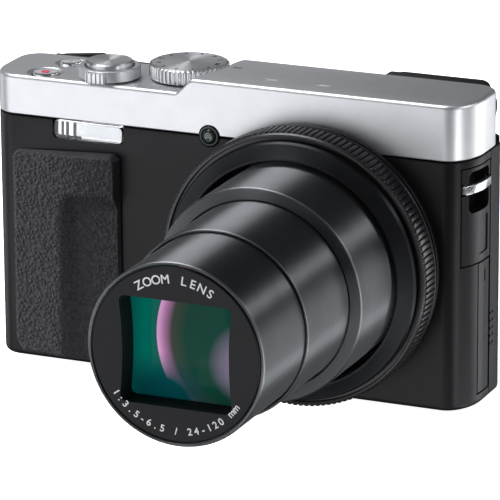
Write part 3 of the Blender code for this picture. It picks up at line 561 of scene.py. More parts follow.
def round_text(text, size, radius, centre, facing, middle_deg, pitch_deg, inward=False):
    """Letters set one by one round a circle, middle_deg counted from the top, clockwise."""
    letters = []
    for i, letter in enumerate(text):
        if letter == " ":
            continue
        offset = (i - 0.5 * (len(text) - 1)) * pitch_deg
        turn = math.radians(middle_deg + (-offset if inward else offset))
        spot = Matrix.Translation((radius * math.sin(turn), radius * math.cos(turn), 0.0))
        tilt = Matrix.Rotation(-turn + (math.pi if inward else 0.0), 4, "Z")
        letters.append(placed(glyph(letter, size), spot @ tilt))
    return placed(joined(*letters), Matrix.Translation(centre) @ facing)


# ---------------------------------------------------------------- case

def front_path(inset, depth):
    lx, ly = LEFT_CORNER
    rx, ry = RIGHT_CORNER
    left = arc(-HALF + lx, FACE + ly, lx - inset, ly - inset, 180, 270, 20)
    right = arc(HALF - rx, FACE + ry, rx - inset, ry - inset, 270, 360, 20)
    return [(-HALF + inset, depth)] + left + right + [(HALF - inset, depth)]


def rear_path(inset, depth, start):
    r = REAR_CORNER
    right = arc(HALF - r, depth - r, r - inset, r - inset, 0, 90, 12)
    left = arc(-HALF + r, depth - r, r - inset, r - inset, 90, 180, 12)
    return [(HALF - inset, start)] + right + left + [(-HALF + inset, start)]


def end_curve(inset, start, end, steps=14):
    """Points along the lens end of the case between two depths, front to back."""
    rx, ry = RIGHT_CORNER
    points = []
    for k in range(steps + 1):
        y = start + (end - start) * k / steps
        drop = min(max((ry - (y - FACE)) / (ry - inset), 0.0), 1.0)
        points.append((HALF - rx + (rx - inset) * math.sqrt(1.0 - drop * drop), y))
    return points


def wall_shell(path, levels):
    """An upright wall along an open path; levels are (z, outer inset)."""
    bm = bmesh.new()
    outer = [[bm.verts.new((x, y, z)) for x, y in path(inset)] for z, inset in levels]
    inner = [[bm.verts.new((x, y, z)) for x, y in path(WALL)] for z, _ in levels]
    for rows in (outer, inner, [outer[0], inner[0]], [outer[-1], inner[-1]]):
        strip(bm, rows, closed=False)
    for end in (0, -1):
        for k in range(len(levels) - 1):
            bm.faces.new((outer[k][end], outer[k + 1][end], inner[k + 1][end], inner[k][end]))
    return clean(bm)


def build_front_case():
    levels = [(CASE_LOW.z + dz, inset) for dz, inset in FOOT]
    levels += [(CASE_HIGH.z - 0.25, 0.0), (CASE_HIGH.z - 0.07, 0.07), (CASE_HIGH.z, 0.25)]
    shell = wall_shell(lambda inset: front_path(inset, CASE_HIGH.y), levels)
    flash_low, flash_high = span("flash_window")
    trim_low, trim_high = span("side_trim")
    flap_low = span("terminal_door")[0]
    cutters = [
        front_hole(LENS_HOLE, LENS, 96),
        plate(flash_low.x - 0.3, flash_high.x + 0.3, flash_low.z - 0.3, 58.0, 1.2,
              FACE - 2.0, FACE + 4.0, "y"),
        front_hole(LAMP_HOLE, middle("focus_lamp")),
        block((50.0, trim_low.y - 0.3, trim_low.z - 0.3), (60.0, 20.0, trim_high.z + 0.3)),
        block((50.0, flap_low.y - 0.35, flap_low.z - 0.4), (60.0, 20.0, trim_low.z - 0.2)),
    ]
    shell = carve(shell, cutters)
    piece("case_front", shell, "camera", CASE_BLACK, ("front_case",), 0.1)


def build_rear_case():
    levels = [(REAR_LOW.z + dz, inset) for dz, inset in FOOT]
    levels += [(REAR_HIGH.z - 0.4, 0.0), (REAR_HIGH.z - 0.1, 0.12), (REAR_HIGH.z, 0.4)]
    shell = wall_shell(lambda inset: rear_path(inset, REAR_HIGH.y, REAR_LOW.y), levels)
    finder_low = span("viewfinder_housing")[0]
    hinge_low, hinge_high = span("screen_hinge")
    cutters = [
        block((-70.0, FACE, CASE_HIGH.z), (70.0, TOP_HIGH.y + 0.3, 80.0)),
        block((finder_low.x - 0.4, 0.0, finder_low.z - 0.4), (70.0, 20.0, 80.0)),
        block((-70.0, 0.0, CASE_HIGH.z), (HUMP_END, 20.0, 80.0)),
        prism([(HUMP_END - 1.0, SHELF - 0.5), (HUMP_END, SHELF - 0.3), (HUMP_PEAK, REAR_HIGH.z),
               (HUMP_PEAK, 80.0), (HUMP_END - 1.0, 80.0)], 0.0, 20.0, "y"),
        block((hinge_low.x - 0.4, 10.1, hinge_low.z - 0.4), (hinge_high.x + 0.4, 14.0, hinge_high.z + 0.4)),
        back_hole(2.9, WHEEL),
    ]
    cutters += [back_hole(2.55, middle(key), 40) for key in BACK_KEYS]
    for row in range(5):
        for column in range(2):
            speaker = (0.0, 2.4 + 1.5 * column, 12.2 + 1.7 * row)
            cutters.append(disc(0.38, HALF - 3.0, HALF + 2.0, speaker, "x", 16))
    shell = carve(shell, cutters)
    piece("case_rear", shell, "camera", CASE_BLACK, ("rear_case",), 0.1)


def top_plan(inset):
    """Closed plan of the silver top, each point with its surface's height, and the step's points."""
    lx, ly = LEFT_CORNER
    rx, ry = RIGHT_CORNER
    r = TOP_REAR_CORNER
    front, back = FACE + inset, TOP_HIGH.y - inset
    step = [(-11.3, SHELF), (-10.9, SHELF + 0.12), (-10.5, SHELF + 0.45), (-8.1, RAISED - 0.45),
            (-7.7, RAISED - 0.12), (-7.2, RAISED)]

    def slant(y):
        return 0.2 * (y - FACE)

    def corner(cx, cy, rx, ry, begin, steps, z):
        return [(x, y, z) for x, y in arc(cx, cy, rx - inset, ry - inset, begin, begin + 90, steps)]

    points = corner(-HALF + r, TOP_HIGH.y - r, r, r, 90, 12, SHELF)
    points += corner(-HALF + lx, FACE + ly, lx, ly, 180, 20, SHELF)
    points += [(x + slant(front), front, z) for x, z in step]
    points += corner(HALF - rx, FACE + ry, rx, ry, 270, 20, RAISED)
    points += corner(HALF - r, TOP_HIGH.y - r, r, r, 0, 12, RAISED)
    points += [(x + slant(back), back, z) for x, z in reversed(step)]
    return points, len(step)


def build_top_cover():
    bm = bmesh.new()

    def loop(inset, level):
        return [bm.verts.new((x, y, level(z))) for x, y, z in top_plan(inset)[0]]

    steps = top_plan(0.0)[1]
    foot = 13 + 21                   # points of the two corners before the step

    def cap(verts):
        back = len(verts) - 1
        bm.faces.new([verts[back]] + verts[:foot + 1])
        for k in range(steps - 1):
            bm.faces.new((verts[foot + k], verts[foot + k + 1], verts[back - k - 1], verts[back - k]))
        bm.faces.new(verts[foot + steps - 1:back - steps + 2])

    outer = [loop(0.25, lambda z: TOP_LOW.z), loop(0.0, lambda z: TOP_LOW.z + 0.25)]
    for k in range(7):
        turn = math.radians(90.0 * k / 6)
        drop = TOP_EDGE * (1.0 - math.sin(turn))
        outer.append(loop(TOP_EDGE * (1.0 - math.cos(turn)), lambda z, drop=drop: z - drop))
    inner = [loop(SKIN, lambda z: TOP_LOW.z), loop(SKIN, lambda z: z - SKIN)]
    for rows in (outer, inner, [outer[0], inner[0]]):
        strip(bm, rows)
    cap(outer[-1])
    cap(inner[-1])
    clean(bm)
    power, record = middle("power_button"), middle("record_button")
    cutters = [disc(DIAL_WELL, SHELF - 0.01, 75.0, DIAL, "z", 96), top_hole(3.4, DIAL), top_hole(2.5, BUTTON),
               top_hole(2.75, power), top_hole(3.25, record), front_hole(LAMP_HOLE, middle("focus_lamp")),
               front_hole(LENS_HOLE, LENS, 96)]
    for spot, radius in ((power, 3.5), (record, 4.1)):
        dish = [(0.0, SHELF + 1.0), (radius + 0.9, SHELF + 0.9), (radius, SHELF),
                (radius - 0.7, SHELF - 0.45), (0.0, SHELF - 0.5)]
        cutters.append(turned(dish, spot, "z", 64, closed=False))
    cutters += [plate(x - 1.7, x + 1.7, -5.6, -4.6, 0.45, RAISED - 0.5, 75.0, "z") for x in MICROPHONES]
    piece("silver_top", carve(bm, cutters), "camera", SILVER, ("top_cover",))

    slots = [plate(x - 1.62, x + 1.62, -5.5, -4.7, 0.38, RAISED - 0.45, RAISED - 0.12, "z", 0.08)
             for x in MICROPHONES]
    piece("microphone_screens", joined(*slots), "camera", WHITE_PRINT)
    mark = plate(-2.9, -0.9, 0.95, 1.45, 0.2, RAISED - 0.05, RAISED + 0.03, "z")
    piece("dial_index", mark, "camera", GREY_PRINT)


def build_ends():
    low, high = span("side_trim")
    outline = end_curve(0.0, low.y, high.y) + [(low.x, high.y), (low.x, low.y)]
    lug_low, lug_high = span("strap_lug")
    groove = end_curve(0.9, FACE + 1.0, 3.0) + [(60.0, 3.0), (60.0, FACE + 1.0)]
    cutters = [plate(low.y + 1.5, high.y - 0.7, 43.6, 52.7, 1.4, low.x + 1.3, 60.0, "x"),
               prism(groove, lug_low.z - 0.3, lug_high.z + 0.3, "z"),
               plate(low.y + 3.6, high.y - 1.2, 34.0, 42.2, 0.8, HALF - 0.32, 60.0, "x")]
    trim = carve(prism(outline, low.z, high.z, "z"), cutters)
    piece("lug_plate", trim, "camera", CASE_BLACK, ("side_trim",), 0.12)

    bar = end_curve(-0.45, lug_low.y, lug_high.y) + end_curve(0.6, lug_low.y, lug_high.y)[::-1]
    bar = prism(bar, lug_low.z, lug_high.z, "z", 0.2)
    piece("lug_bar", bar, "camera", BRIGHT_STEEL, ("strap_lug",))

    low, high = span("terminal_door")
    pin = 0.6                        # radius of the hinge's knuckle
    flap = end_curve(0.0, low.y, high.y - pin) + end_curve(1.2, low.y, high.y - pin)[::-1]
    knuckle = disc(pin, low.z, high.z, (HALF - pin, high.y - pin, 0.0), "z", 32)
    nick = block((HALF - 0.6, -1.2, 27.2), (HALF + 2.0, -0.6, 30.0))
    door = carve(carve(prism(flap, low.z, high.z, "z"), [knuckle], "UNION"), [nick])
    piece("socket_flap", door, "terminal_door", CASE_BLACK, ("terminal_door",), 0.1)


# ---------------------------------------------------------------- grip and thumb rest

def smooth(t):
    t = min(max(t, 0.0), 1.0)
    return t * t * (3.0 - 2.0 * t)


def scoop_depth(across, below):
    """Depth of the finger scoop, that far inside its upright edge and under its top edge."""
    if min(across, below) <= 0.0:
        return 0.0
    inside = min(across, below)
    if max(across, below) < SCOOP_CORNER:
        inside = SCOOP_CORNER - math.hypot(SCOOP_CORNER - across, SCOOP_CORNER - below)
    return SCOOP_DEEP * smooth(inside / SCOOP_SLOPE)


def pebbles(x, z):
    """Raised cells with creases between them, from 0 in a crease to 1 on a pebble."""
    drift = 0.35 * noise.noise(Vector((x * 0.7, z * 0.7, 3.0)))
    near = noise.voronoi(Vector((x * 0.95 + drift, z * 1.05 - drift, 0.0)))[0]
    return smooth((near[1] - near[0]) / 0.38)


def build_grip():
    """Wedge-shaped pad with a ledge, a finger scoop and a pebbled skin."""
    low, high = span("grip_pad")
    wide = high.x - low.x
    columns, rows = 190, 330

    def height(u, v):
        swell = 0.55 + 2.95 * math.sin(0.5 * math.pi * min(u / 0.82, 1.0)) ** 1.2
        scoop = scoop_depth(wide * (u - CREASE), GRIP_TALL * (ARCH - v))
        rim = smooth(min(u / 0.03, (1.0 - u) / 0.018, v / 0.02, (1.0 - v) / 0.014))
        return 0.3 + (swell - scoop - 0.3) * (0.3 + 0.7 * rim), rim

    bm = bmesh.new()
    face, back = [], []
    for j in range(rows + 1):
        v = j / rows
        front_row, back_row = [], []
        for i in range(columns + 1):
            u = i / columns
            pinch = 2.2 * max(0.0, 1.0 - u / 0.09) ** 2 + 1.6 * max(0.0, 1.0 - (1.0 - u) / 0.07) ** 2
            bottom, top = 1.4 + 1.6 * pinch, 47.9 + 1.4 * u - 0.8 * pinch
            x, z = low.x + wide * u, bottom + (top - bottom) * v
            depth, rim = height(u, v)
            grain_here = GRAIN_DEEP * rim * (pebbles(x, z) - 0.6)
            front_row.append(bm.verts.new((x, FACE - depth - grain_here, z)))
            back_row.append(bm.verts.new((x, FACE - 0.25, z)))
        face.append(front_row)
        back.append(back_row)
    for rows_pair in (face, back, [face[0], back[0]], [face[-1], back[-1]]):
        strip(bm, rows_pair, closed=False)
    for end in (0, -1):
        strip(bm, [[row[end] for row in face], [row[end] for row in back]], closed=False)
    piece("grip_skin", clean(bm), "camera", LEATHER, ("grip_pad",))


def crest(x, z):
    """How far the hump behind the shelf falls away towards the grip end, at that spot."""
    share = smooth((z - (SHELF - 6.0)) / 6.0)
    return share * 1.1 * min(max((HUMP_PEAK - x) / (HUMP_PEAK - HUMP_END), 0.0), 1.0)


def build_thumb_rest():
    low, high = span("thumb_rest")
    bm = bmesh.new()
    rows = []
    for k in range(9):
        t = k / 8
        inset = 1.3 * (1.0 - math.sqrt(max(1.0 - t * t, 0.0)))
        y = low.y + 1.2 + (high.y - low.y - 1.2) * math.sin(0.5 * math.pi * t)
        outline = slab(low.x + inset, high.x - inset, low.z + 1.4 * inset, high.z - inset, 2.4)
        rows.append([bm.verts.new((x, y, z - crest(x, z))) for x, z in outline])
    foot = [bm.verts.new((v.co.x, low.y, v.co.z)) for v in rows[0]]
    rows.insert(0, foot)
    strip(bm, rows)
    bm.faces.new(rows[0])
    bm.faces.new(rows[-1])
    grooves = [plate(low.x + 2.4, high.x - 2.4, z - 0.35, z + 0.35, 0.3, high.y - 0.35, high.y + 1.0, "y")
               for z in (47.0, 49.2, 51.4, 53.6, 55.8, 58.0)]
    piece("thumb_pad", carve(clean(bm), grooves), "camera", RUBBER, ("thumb_rest",), 0.08)


# ---------------------------------------------------------------- flash and focus lamp

def build_flash():
    low, high = span("flash_window")
    window = plate(low.x, high.x, low.z, high.z, 1.1, low.y, high.y, "y", 0.28)
    piece("flash_cover", window, "camera", CLEAR, ("flash_window",))
    back = high.y + 0.12
    split = low.x + 0.30 * (high.x - low.x)
    diffuser = [block((split, back, low.z + 0.45), (high.x - 0.35, back + 0.4, high.z - 0.3), 0.1)]
    for k in range(9):
        x = split + 0.6 + 1.15 * k
        diffuser.append(block((x, back - 0.06, low.z + 0.6), (x + 0.5, back + 0.1, high.z - 0.4), 0.02))
    piece("flash_diffuser", joined(*diffuser), "camera", LAMP_WHITE)
    bars = [block((x, back, low.z + 0.4), (x + wide, back + 0.35, high.z - 0.3), 0.05)
            for x, wide in ((low.x + 0.6, 0.8), (low.x + 2.0, 0.5), (low.x + 3.2, 1.0))]
    piece("flash_bars", joined(*bars), "camera", BRIGHT_STEEL)
    well = block((low.x + 0.2, back + 0.5, low.z + 0.2), (split, back + 0.9, high.z - 0.2), 0.05)
    piece("flash_well", well, "camera", DULL_BLACK)

    lamp = middle("focus_lamp")
    lamp_low, lamp_high = span("focus_lamp")
    dome = [(0.0, lamp_low.y)] + [(1.55 * math.sin(t), lamp_low.y + 0.6 * (1.0 - math.cos(t)))
                                  for t in [0.5 * math.pi * k / 8 for k in range(1, 9)]]
    ledge, depth = dome[3]           # a fine groove part of the way up the dome
    dome[4:4] = [(ledge + 0.02, depth + 0.16), (ledge + 0.14, depth + 0.16)]
    dome += [(1.55, lamp_high.y), (0.0, lamp_high.y)]
    piece("focus_dome", turned(dome, lamp, "y", 64, closed=False), "camera", SMOKED,
          ("focus_lamp",))
    collar = rounded([(1.62, FACE - 0.1), (1.75, FACE - 0.35), (2.2, FACE - 0.3), (2.35, FACE + 0.4),
                      (1.62, FACE + 0.4)], 0.1)
    piece("focus_collar", turned(collar, lamp, "y", 64), "camera", KEY_BLACK)


# ---------------------------------------------------------------- lens

def lens_piece(name, profile, body, look, node=None, radius=0.0, closed=True,
               rim_depth=0.0):
    outline = rounded(profile, radius, closed=closed) if radius else profile
    bm = turned(outline, LENS, "y", ROUND, closed)
    front = span(node)[0].y
    rim = (CUT_RIM, front - 0.1, front + rim_depth) if rim_depth else None
    return piece(name, bm, body, look, (node,), rim=rim)


def build_control_ring():
    low, high = span("control_ring")
    outer, front, knurl = 0.5 * (high.x - low.x), low.y, high.y - 1.6
    stations = [(front + 0.8, RING_BORE, 0), (front + 0.8, outer - 1.25, 0), (front + 0.1, outer - 1.2, 0),
                (front, outer - 1.05, 0), (front + 0.12, outer - 0.6, 0), (front + 0.4, outer - 0.38, 0),
                (front + 0.45, outer - 0.34, 0), (front + 0.6, outer - 0.04, 1), (front + 0.8, outer, 1),
                (knurl - 0.2, outer, 1), (knurl, outer - 0.08, 1), (knurl + 0.08, outer - 0.45, 0),
                (knurl + 0.3, outer - 0.45, 0), (knurl + 0.42, outer - 0.12, 0),
                (knurl + 0.6, outer - 0.06, 0), (high.y - 0.2, outer - 0.3, 0),
                (high.y, outer - 0.5, 0), (high.y, RING_BORE, 0)]
    ring = toothed(stations, LENS, "y", RING_TEETH, 1.0, RIBS, capped=False)
    piece("knurled_ring", ring, "ring", RING_BLACK, ("control_ring",))


def window_outline(grow):
    """The front window: straight top and bottom, sides that bow inwards, rounded corners."""
    wide, tall, bow, corner = 12.4 + grow, 11.2 + grow, 0.75, 1.7
    points = []
    for side, begin in ((1, -1), (-1, 1)):
        for k in range(25):
            v = begin + (-2.0 * begin) * k / 24
            points.append(Vector((LENS.x + side * (wide - bow * (1.0 - v * v)), LENS.z + tall * v)))
    corners = [points[i] for i in (0, 24, 25, 49)]
    out = []
    for i, here in enumerate(points):
        if here not in corners:
            if all((spot - here).length >= corner for spot in corners):
                out.append(tuple(here))
            continue
        back, on = points[i - 1] - here, points[(i + 1) % len(points)] - here
        start, end = here + back.normalized() * corner, here + on.normalized() * corner
        for t in [k / 8 for k in range(9)]:
            out.append(tuple(start * (1 - t) ** 2 + here * 2 * t * (1 - t) + end * t * t))
    return out


def build_lens():
    low, high = span("lens_flange")
    outer = 0.5 * (high.x - low.x)
    flange = [(RING_BORE, low.y), (outer - 0.55, low.y), (outer - 0.4, low.y + 0.25),
              (outer - 0.4, low.y + 0.7), (outer - 0.75, low.y + 0.8), (outer - 0.75, low.y + 1.1),
              (outer, low.y + 1.2), (outer, high.y), (RING_BORE, high.y)]
    lens_piece("mount_flange", flange, "camera", RING_BLACK, "lens_flange", radius=0.1)
    build_control_ring()

    low, high = span("lens_bezel")
    outer = 0.5 * (high.x - low.x)
    bezel = [(24.6, low.y + 0.25), (24.85, low.y), (25.2, low.y + 0.05), (outer - 1.15, low.y + 1.42),
             (outer - 0.85, low.y + 1.5), (outer - 0.45, low.y + 2.0), (outer - 0.45, low.y + 2.4),
             (27.2, low.y + 2.4), (27.2, high.y), (24.6, high.y)]
    lens_piece("front_bezel", bezel, "camera", BEZEL_BLACK, "lens_bezel",
               radius=[0.08, 0.08, 0.1, 0.0, 0.0, 0.1, 0.0, 0.0, 0.0, 0.0])

    low, high = span("lens_tube_rear")
    r = 0.5 * (high.x - low.x)
    tube = [(20.65, low.y + 0.1), (20.8, low.y), (r - 0.32, low.y), (r, low.y + 0.3), (r, high.y),
            (r - 1.0, high.y), (r - 1.0, low.y + 1.2), (20.65, low.y + 1.2)]
    lens_piece("zoom_tube_rear", tube, "tube_rear", TUBE_BLACK, "lens_tube_rear",
               radius=[0.05, 0.05, 0.16, 0.16, 0, 0, 0, 0], rim_depth=0.4)

    low, high = span("lens_tube_middle")
    lens_piece("zoom_tube_middle", [(19.75, low.y + 0.1), (19.85, low.y), (20.1, low.y), (20.3, low.y + 0.2),
                                    (20.3, high.y - 1.4), (22.0, high.y - 1.4), (22.0, high.y),
                                    (19.75, high.y)],
               "tube_middle", TUBE_BLACK, "lens_tube_middle", radius=[0.04, 0.04, 0.1, 0.1, 0, 0, 0, 0],
               rim_depth=0.3)

    low, high = span("lens_tube_front")
    r = 0.5 * (high.x - low.x)
    lens_piece("zoom_tube_front", [(18.4, low.y + 1.1), (18.75, low.y + 1.1), (18.75, low.y + 0.1),
                                   (r - 0.25, low.y), (r, low.y + 0.3), (r, high.y), (18.4, high.y)],
               "tube_front", TUBE_BLACK, "lens_tube_front", radius=[0, 0, 0.08, 0.12, 0.12, 0, 0],
               rim_depth=0.4)

    low, high = span("nameplate")
    blank = turned([(0.0, low.y), (18.2, low.y), (18.45, low.y + 0.25), (18.45, high.y), (0.0, high.y)],
                   LENS, "y", ROUND, closed=False)
    blank = carve(blank, [prism(window_outline(0.0), low.y - 2.0, high.y + 2.0, "y")])
    piece("front_plate", blank, "tube_front", PLATE_BLACK, ("nameplate",), 0.18)

    hood_end = span("front_lens")[0].y + 1.2
    bm = bmesh.new()
    rows = []
    for k in range(9):
        y = high.y + 0.05 + (hood_end - high.y - 0.05) * k / 8
        step = 0.16 if k % 2 else 0.0
        rows.append([bm.verts.new((x, y, z)) for x, z in window_outline(0.02 - step)])
    thick = [[bm.verts.new((x, y, z)) for x, z in window_outline(0.7)]
             for y in (hood_end, high.y + 0.05)]
    strip(bm, rows + thick + [rows[0]])
    piece("window_hood", clean(bm), "tube_front", DULL_BLACK)

    front = (LENS.x, low.y - 0.02, LENS.z)
    lettering = joined(round_text("ZOOM LENS", 2.6, 15.7, front, FRONTWARD, 0.0, 7.4),
                       round_text("1:3.5-6.5 / 24-120 mm", 2.1, 16.2, front, FRONTWARD, 180.0, 5.4, True))
    piece("plate_print", lettering, "tube_front", WHITE_PRINT)

    low, high = span("front_lens")
    glass_profile = [(0.0, low.y)]
    glass_profile += [(18.1 * k / 20, low.y + 3.4 * (k / 20) ** 2) for k in range(1, 21)]
    glass_profile += [(18.1, high.y - 1.0), (12.0, high.y - 1.0), (0.0, high.y)]
    # The front element's look paints the lens's reflections and makes them glow.
    lens_piece("front_element", glass_profile, "tube_front", LENS_REFLECTION_PAINT, "front_lens",
               closed=False)


# ---------------------------------------------------------------- controls on top

def build_top_controls():
    low, high = span("mode_dial")
    base, r = SHELF + 0.35, 8.75
    knob = toothed([(base, r - 0.4, 0.0), (base + 0.25, r - 0.15, 1.0), (base + 0.45, r, 1.0),
                    (high.z - 0.75, r, 1.0), (high.z - 0.5, r - 0.1, 0.8), (high.z - 0.3, r - 0.45, 0.0),
                    (high.z - 0.22, r - 0.75, 0.0), (high.z - 0.2, r - 2.0, 0.0), (high.z - 0.06, 2.0, 0.0),
                    (high.z - 0.05, 0.6, 0.0)], DIAL, "z", DIAL_TEETH, 0.34)
    piece("mode_knob", knob, "mode_dial", SPUN_TOP, ("mode_dial",))
    spot = (DIAL.x, DIAL.y, high.z - 0.2)
    marks = [round_text(mark, 2.0, 6.4, spot, UPWARD, 30.0 * k, 0.0)
             for k, mark in enumerate(("A", "P", "S", "M", "C", "1", "2", "3", "4", "5", "6", "7"))]
    piece("mode_marks", joined(*marks), "mode_dial", GREY_PRINT)

    low, high = span("zoom_lever")
    base = low.z
    collar = [(5.5, base), (6.7, base), (6.7, high.z - 0.1), (6.3, high.z), (5.5, high.z)]
    collar = turned(rounded(collar, 0.15), BUTTON, "z", 96)
    tab = plate(BUTTON.x - 2.3, BUTTON.x + 2.3, low.y, BUTTON.y - 5.9, 0.35, base, high.z - 0.15, "z", 0.15)
    grooves = [block((BUTTON.x - 1.9 + 1.05 * k, low.y - 1.0, base - 1.0),
                     (BUTTON.x - 1.55 + 1.05 * k, low.y + 0.45, high.z + 1.0)) for k in range(4)]
    lever = carve(carve(collar, [tab], "UNION"), grooves)
    piece("zoom_collar", lever, "zoom_lever", SILVER, ("zoom_lever",), 0.07)

    low, high = span("shutter_button")
    cap = [(0.0, high.z - 0.24), (1.5, high.z - 0.22), (3.0, high.z - 0.15), (4.2, high.z - 0.04),
           (4.55, high.z), (4.85, high.z - 0.06), (5.1, high.z - 0.35), (5.1, high.z - 2.05),
           (2.1, high.z - 2.05), (2.1, low.z), (0.0, low.z)]
    piece("release_button", turned(cap, BUTTON, "z", 96, closed=False), "shutter_button",
          SPUN_TOP, ("shutter_button",))

    for node, name in (("power_button", "power_key"), ("record_button", "record_key")):
        low, high = span(node)
        r = 0.5 * (high.x - low.x)
        cap = [(0.0, high.z - 0.12), (r * 0.5, high.z - 0.08), (r - 0.35, high.z), (r - 0.1, high.z - 0.08),
               (r, high.z - 0.3), (r, low.z), (0.0, low.z)]
        piece(name, turned(cap, middle(node), "z", 64, closed=False), node, SPUN_SILVER,
              (node,))
    low, high = span("record_button")
    dot = disc(0.95, high.z - 0.14, high.z - 0.06, middle("record_button"), "z", 40)
    piece("record_dot", dot, "record_button", RED_MARK)


# ---------------------------------------------------------------- controls on the back

def triangle(size):
    return [(-0.5 * size, -0.6 * size), (0.6 * size, 0.0), (-0.5 * size, 0.6 * size)]


def build_back_controls():
    low, high = span("rear_dial")
    r = 0.5 * (high.x - low.x)
    wheel = toothed([(low.y, r - 0.2, 1.0), (high.y - 0.75, r, 1.0), (high.y - 0.4, r - 0.1, 0.7),
                     (high.y - 0.15, r - 0.5, 0.0), (high.y, r - 1.0, 0.0)], WHEEL, "y", WHEEL_TEETH, 0.2)
    wheel = carve(wheel, [disc(5.6, low.y - 2.0, high.y + 2.0, WHEEL, "y", 96)])
    piece("thumb_wheel", wheel, "rear_dial", KEY_BLACK, ("rear_dial",), 0.08)
    ticks = []
    for k in range(4):
        turn = Matrix.Rotation(0.25 * TAU * k, 4, "Z")
        mark = prism([(7.1 + v * 0.5, u * 0.5) for u, v in triangle(1.3)], -0.02, 0.03, "z")
        ticks.append(placed(mark, Matrix.Translation((WHEEL.x, high.y, WHEEL.z)) @ BACKWARD @ turn))
    piece("wheel_marks", joined(*ticks), "rear_dial", WHITE_PRINT)

    low, high = span("set_button")
    key = [(0.0, high.y - 0.15), (3.0, high.y - 0.08), (4.6, high.y), (5.0, high.y - 0.12),
           (5.2, high.y - 0.5), (5.2, high.y - 1.1), (2.5, high.y - 1.1), (2.5, low.y), (0.0, low.y)]
    piece("set_key", turned(key, WHEEL, "y", 72, closed=False), "set_button", KEY_BLACK,
          ("set_button",))
    for node in BACK_KEYS:
        name = node.replace("_button", "_key")
        low, high = span(node)
        r = 0.5 * (high.x - low.x)
        key = [(0.0, high.y), (r - 0.45, high.y - 0.02), (r - 0.15, high.y - 0.12), (r, high.y - 0.35),
               (r, low.y), (0.0, low.y)]
        piece(name, turned(key, middle(node), "y", 56, closed=False), node, KEY_BLACK, (node,))
    face = span("playback_button")[1].y - 0.01
    can = joined(prism([(-0.55, -0.8), (0.55, -0.8), (0.7, 0.4), (-0.7, 0.4)], 0.0, 0.04, "z"),
                 plate(-0.85, 0.85, 0.55, 0.75, 0.08, 0.0, 0.04, "z"))
    ring = turned([(0.75, 0.0), (0.95, 0.0), (0.95, 0.04), (0.75, 0.04)], (0, 0, 0), "z", 40)
    marks = {"playback": prism(triangle(1.5), 0.0, 0.04, "z"), "delete": can, "view": ring}
    for key, mark in marks.items():
        centre = middle(key + "_button")
        place = Matrix.Translation((centre.x, face, centre.z)) @ BACKWARD
        piece(key + "_mark", placed(mark, place), key + "_button", WHITE_PRINT)


def build_screen():
    low, high = span("screen_panel")
    panel = plate(low.x, high.x, low.z, high.z, 1.6, low.y, high.y, "y", 0.45)
    glass_low, glass_high = span("screen_glass")
    cutters = [plate(glass_low.x - 0.3, glass_high.x + 0.3, glass_low.z - 0.3, glass_high.z + 0.3, 0.9,
                     glass_low.y - 0.25, high.y + 2.0, "y"),
               plate(*SCREEN_NOTCH, low.z - 2.0, low.z + 0.9, 0.4, high.y - 1.1, high.y + 2.0, "y")]
    cutters += [block((x - 0.4, 9.0, 52.7), (x + 8.4, 19.0, 60.0)) for x in SCREEN_HINGES]
    piece("screen_frame", carve(panel, cutters), "screen", CASE_BLACK, ("screen_panel",), 0.1)
    cover = plate(glass_low.x, glass_high.x, glass_low.z, glass_high.z, 0.7, glass_low.y, glass_high.y,
                  "y", 0.15)
    piece("screen_cover", cover, "screen", DISPLAY, ("screen_glass",))
    finish_node(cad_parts["screen_hinge"], BRIGHT_STEEL)


def build_viewfinder():
    low, high = span("viewfinder_housing")
    body = plate(low.x, high.x, low.z, high.z, 1.5, low.y, high.y, "y", 0.35)
    body = carve(body, [plate(*FINDER_WINDOW, 1.0, 7.0, 19.0, "y")])
    piece("finder_body", body, "camera", CASE_BLACK, ("viewfinder_housing",), 0.08)

    low, high = span("eyecup")
    bm = bmesh.new()
    rows = []
    section = rounded([(0.0, low.y), (0.0, high.y), (1.0, high.y), (1.0, low.y)], 0.45, 5)
    outer = slab(low.x, high.x, low.z, high.z, 2.0, 8)
    inner = slab(*EYECUP_HOLE, 1.4, 8)
    for share, y in section:
        rows.append([bm.verts.new((a[0] + (b[0] - a[0]) * share, y, a[1] + (b[1] - a[1]) * share))
                     for a, b in zip(outer, inner)])
    strip(bm, rows + [rows[0]])
    piece("eye_rubber", clean(bm), "camera", RUBBER, ("eyecup",))
    low, high = span("eyepiece_lens")
    lens = plate(low.x, high.x, low.z, high.z, 0.8, low.y, high.y, "y", 0.2)
    piece("eye_window", lens, "camera", CLEAR, ("eyepiece_lens",))

    low, high = span("diopter_dial")
    centre = middle("diopter_dial")
    dial = toothed([(low.x, 2.8, 1.0), (high.x - 0.35, 2.8, 1.0), (high.x - 0.1, 2.6, 0.4),
                    (high.x, 2.35, 0.0)], centre, "x", 30, 0.18)
    piece("diopter_wheel", dial, "diopter_dial", KEY_BLACK, ("diopter_dial",))


# ---------------------------------------------------------------- base

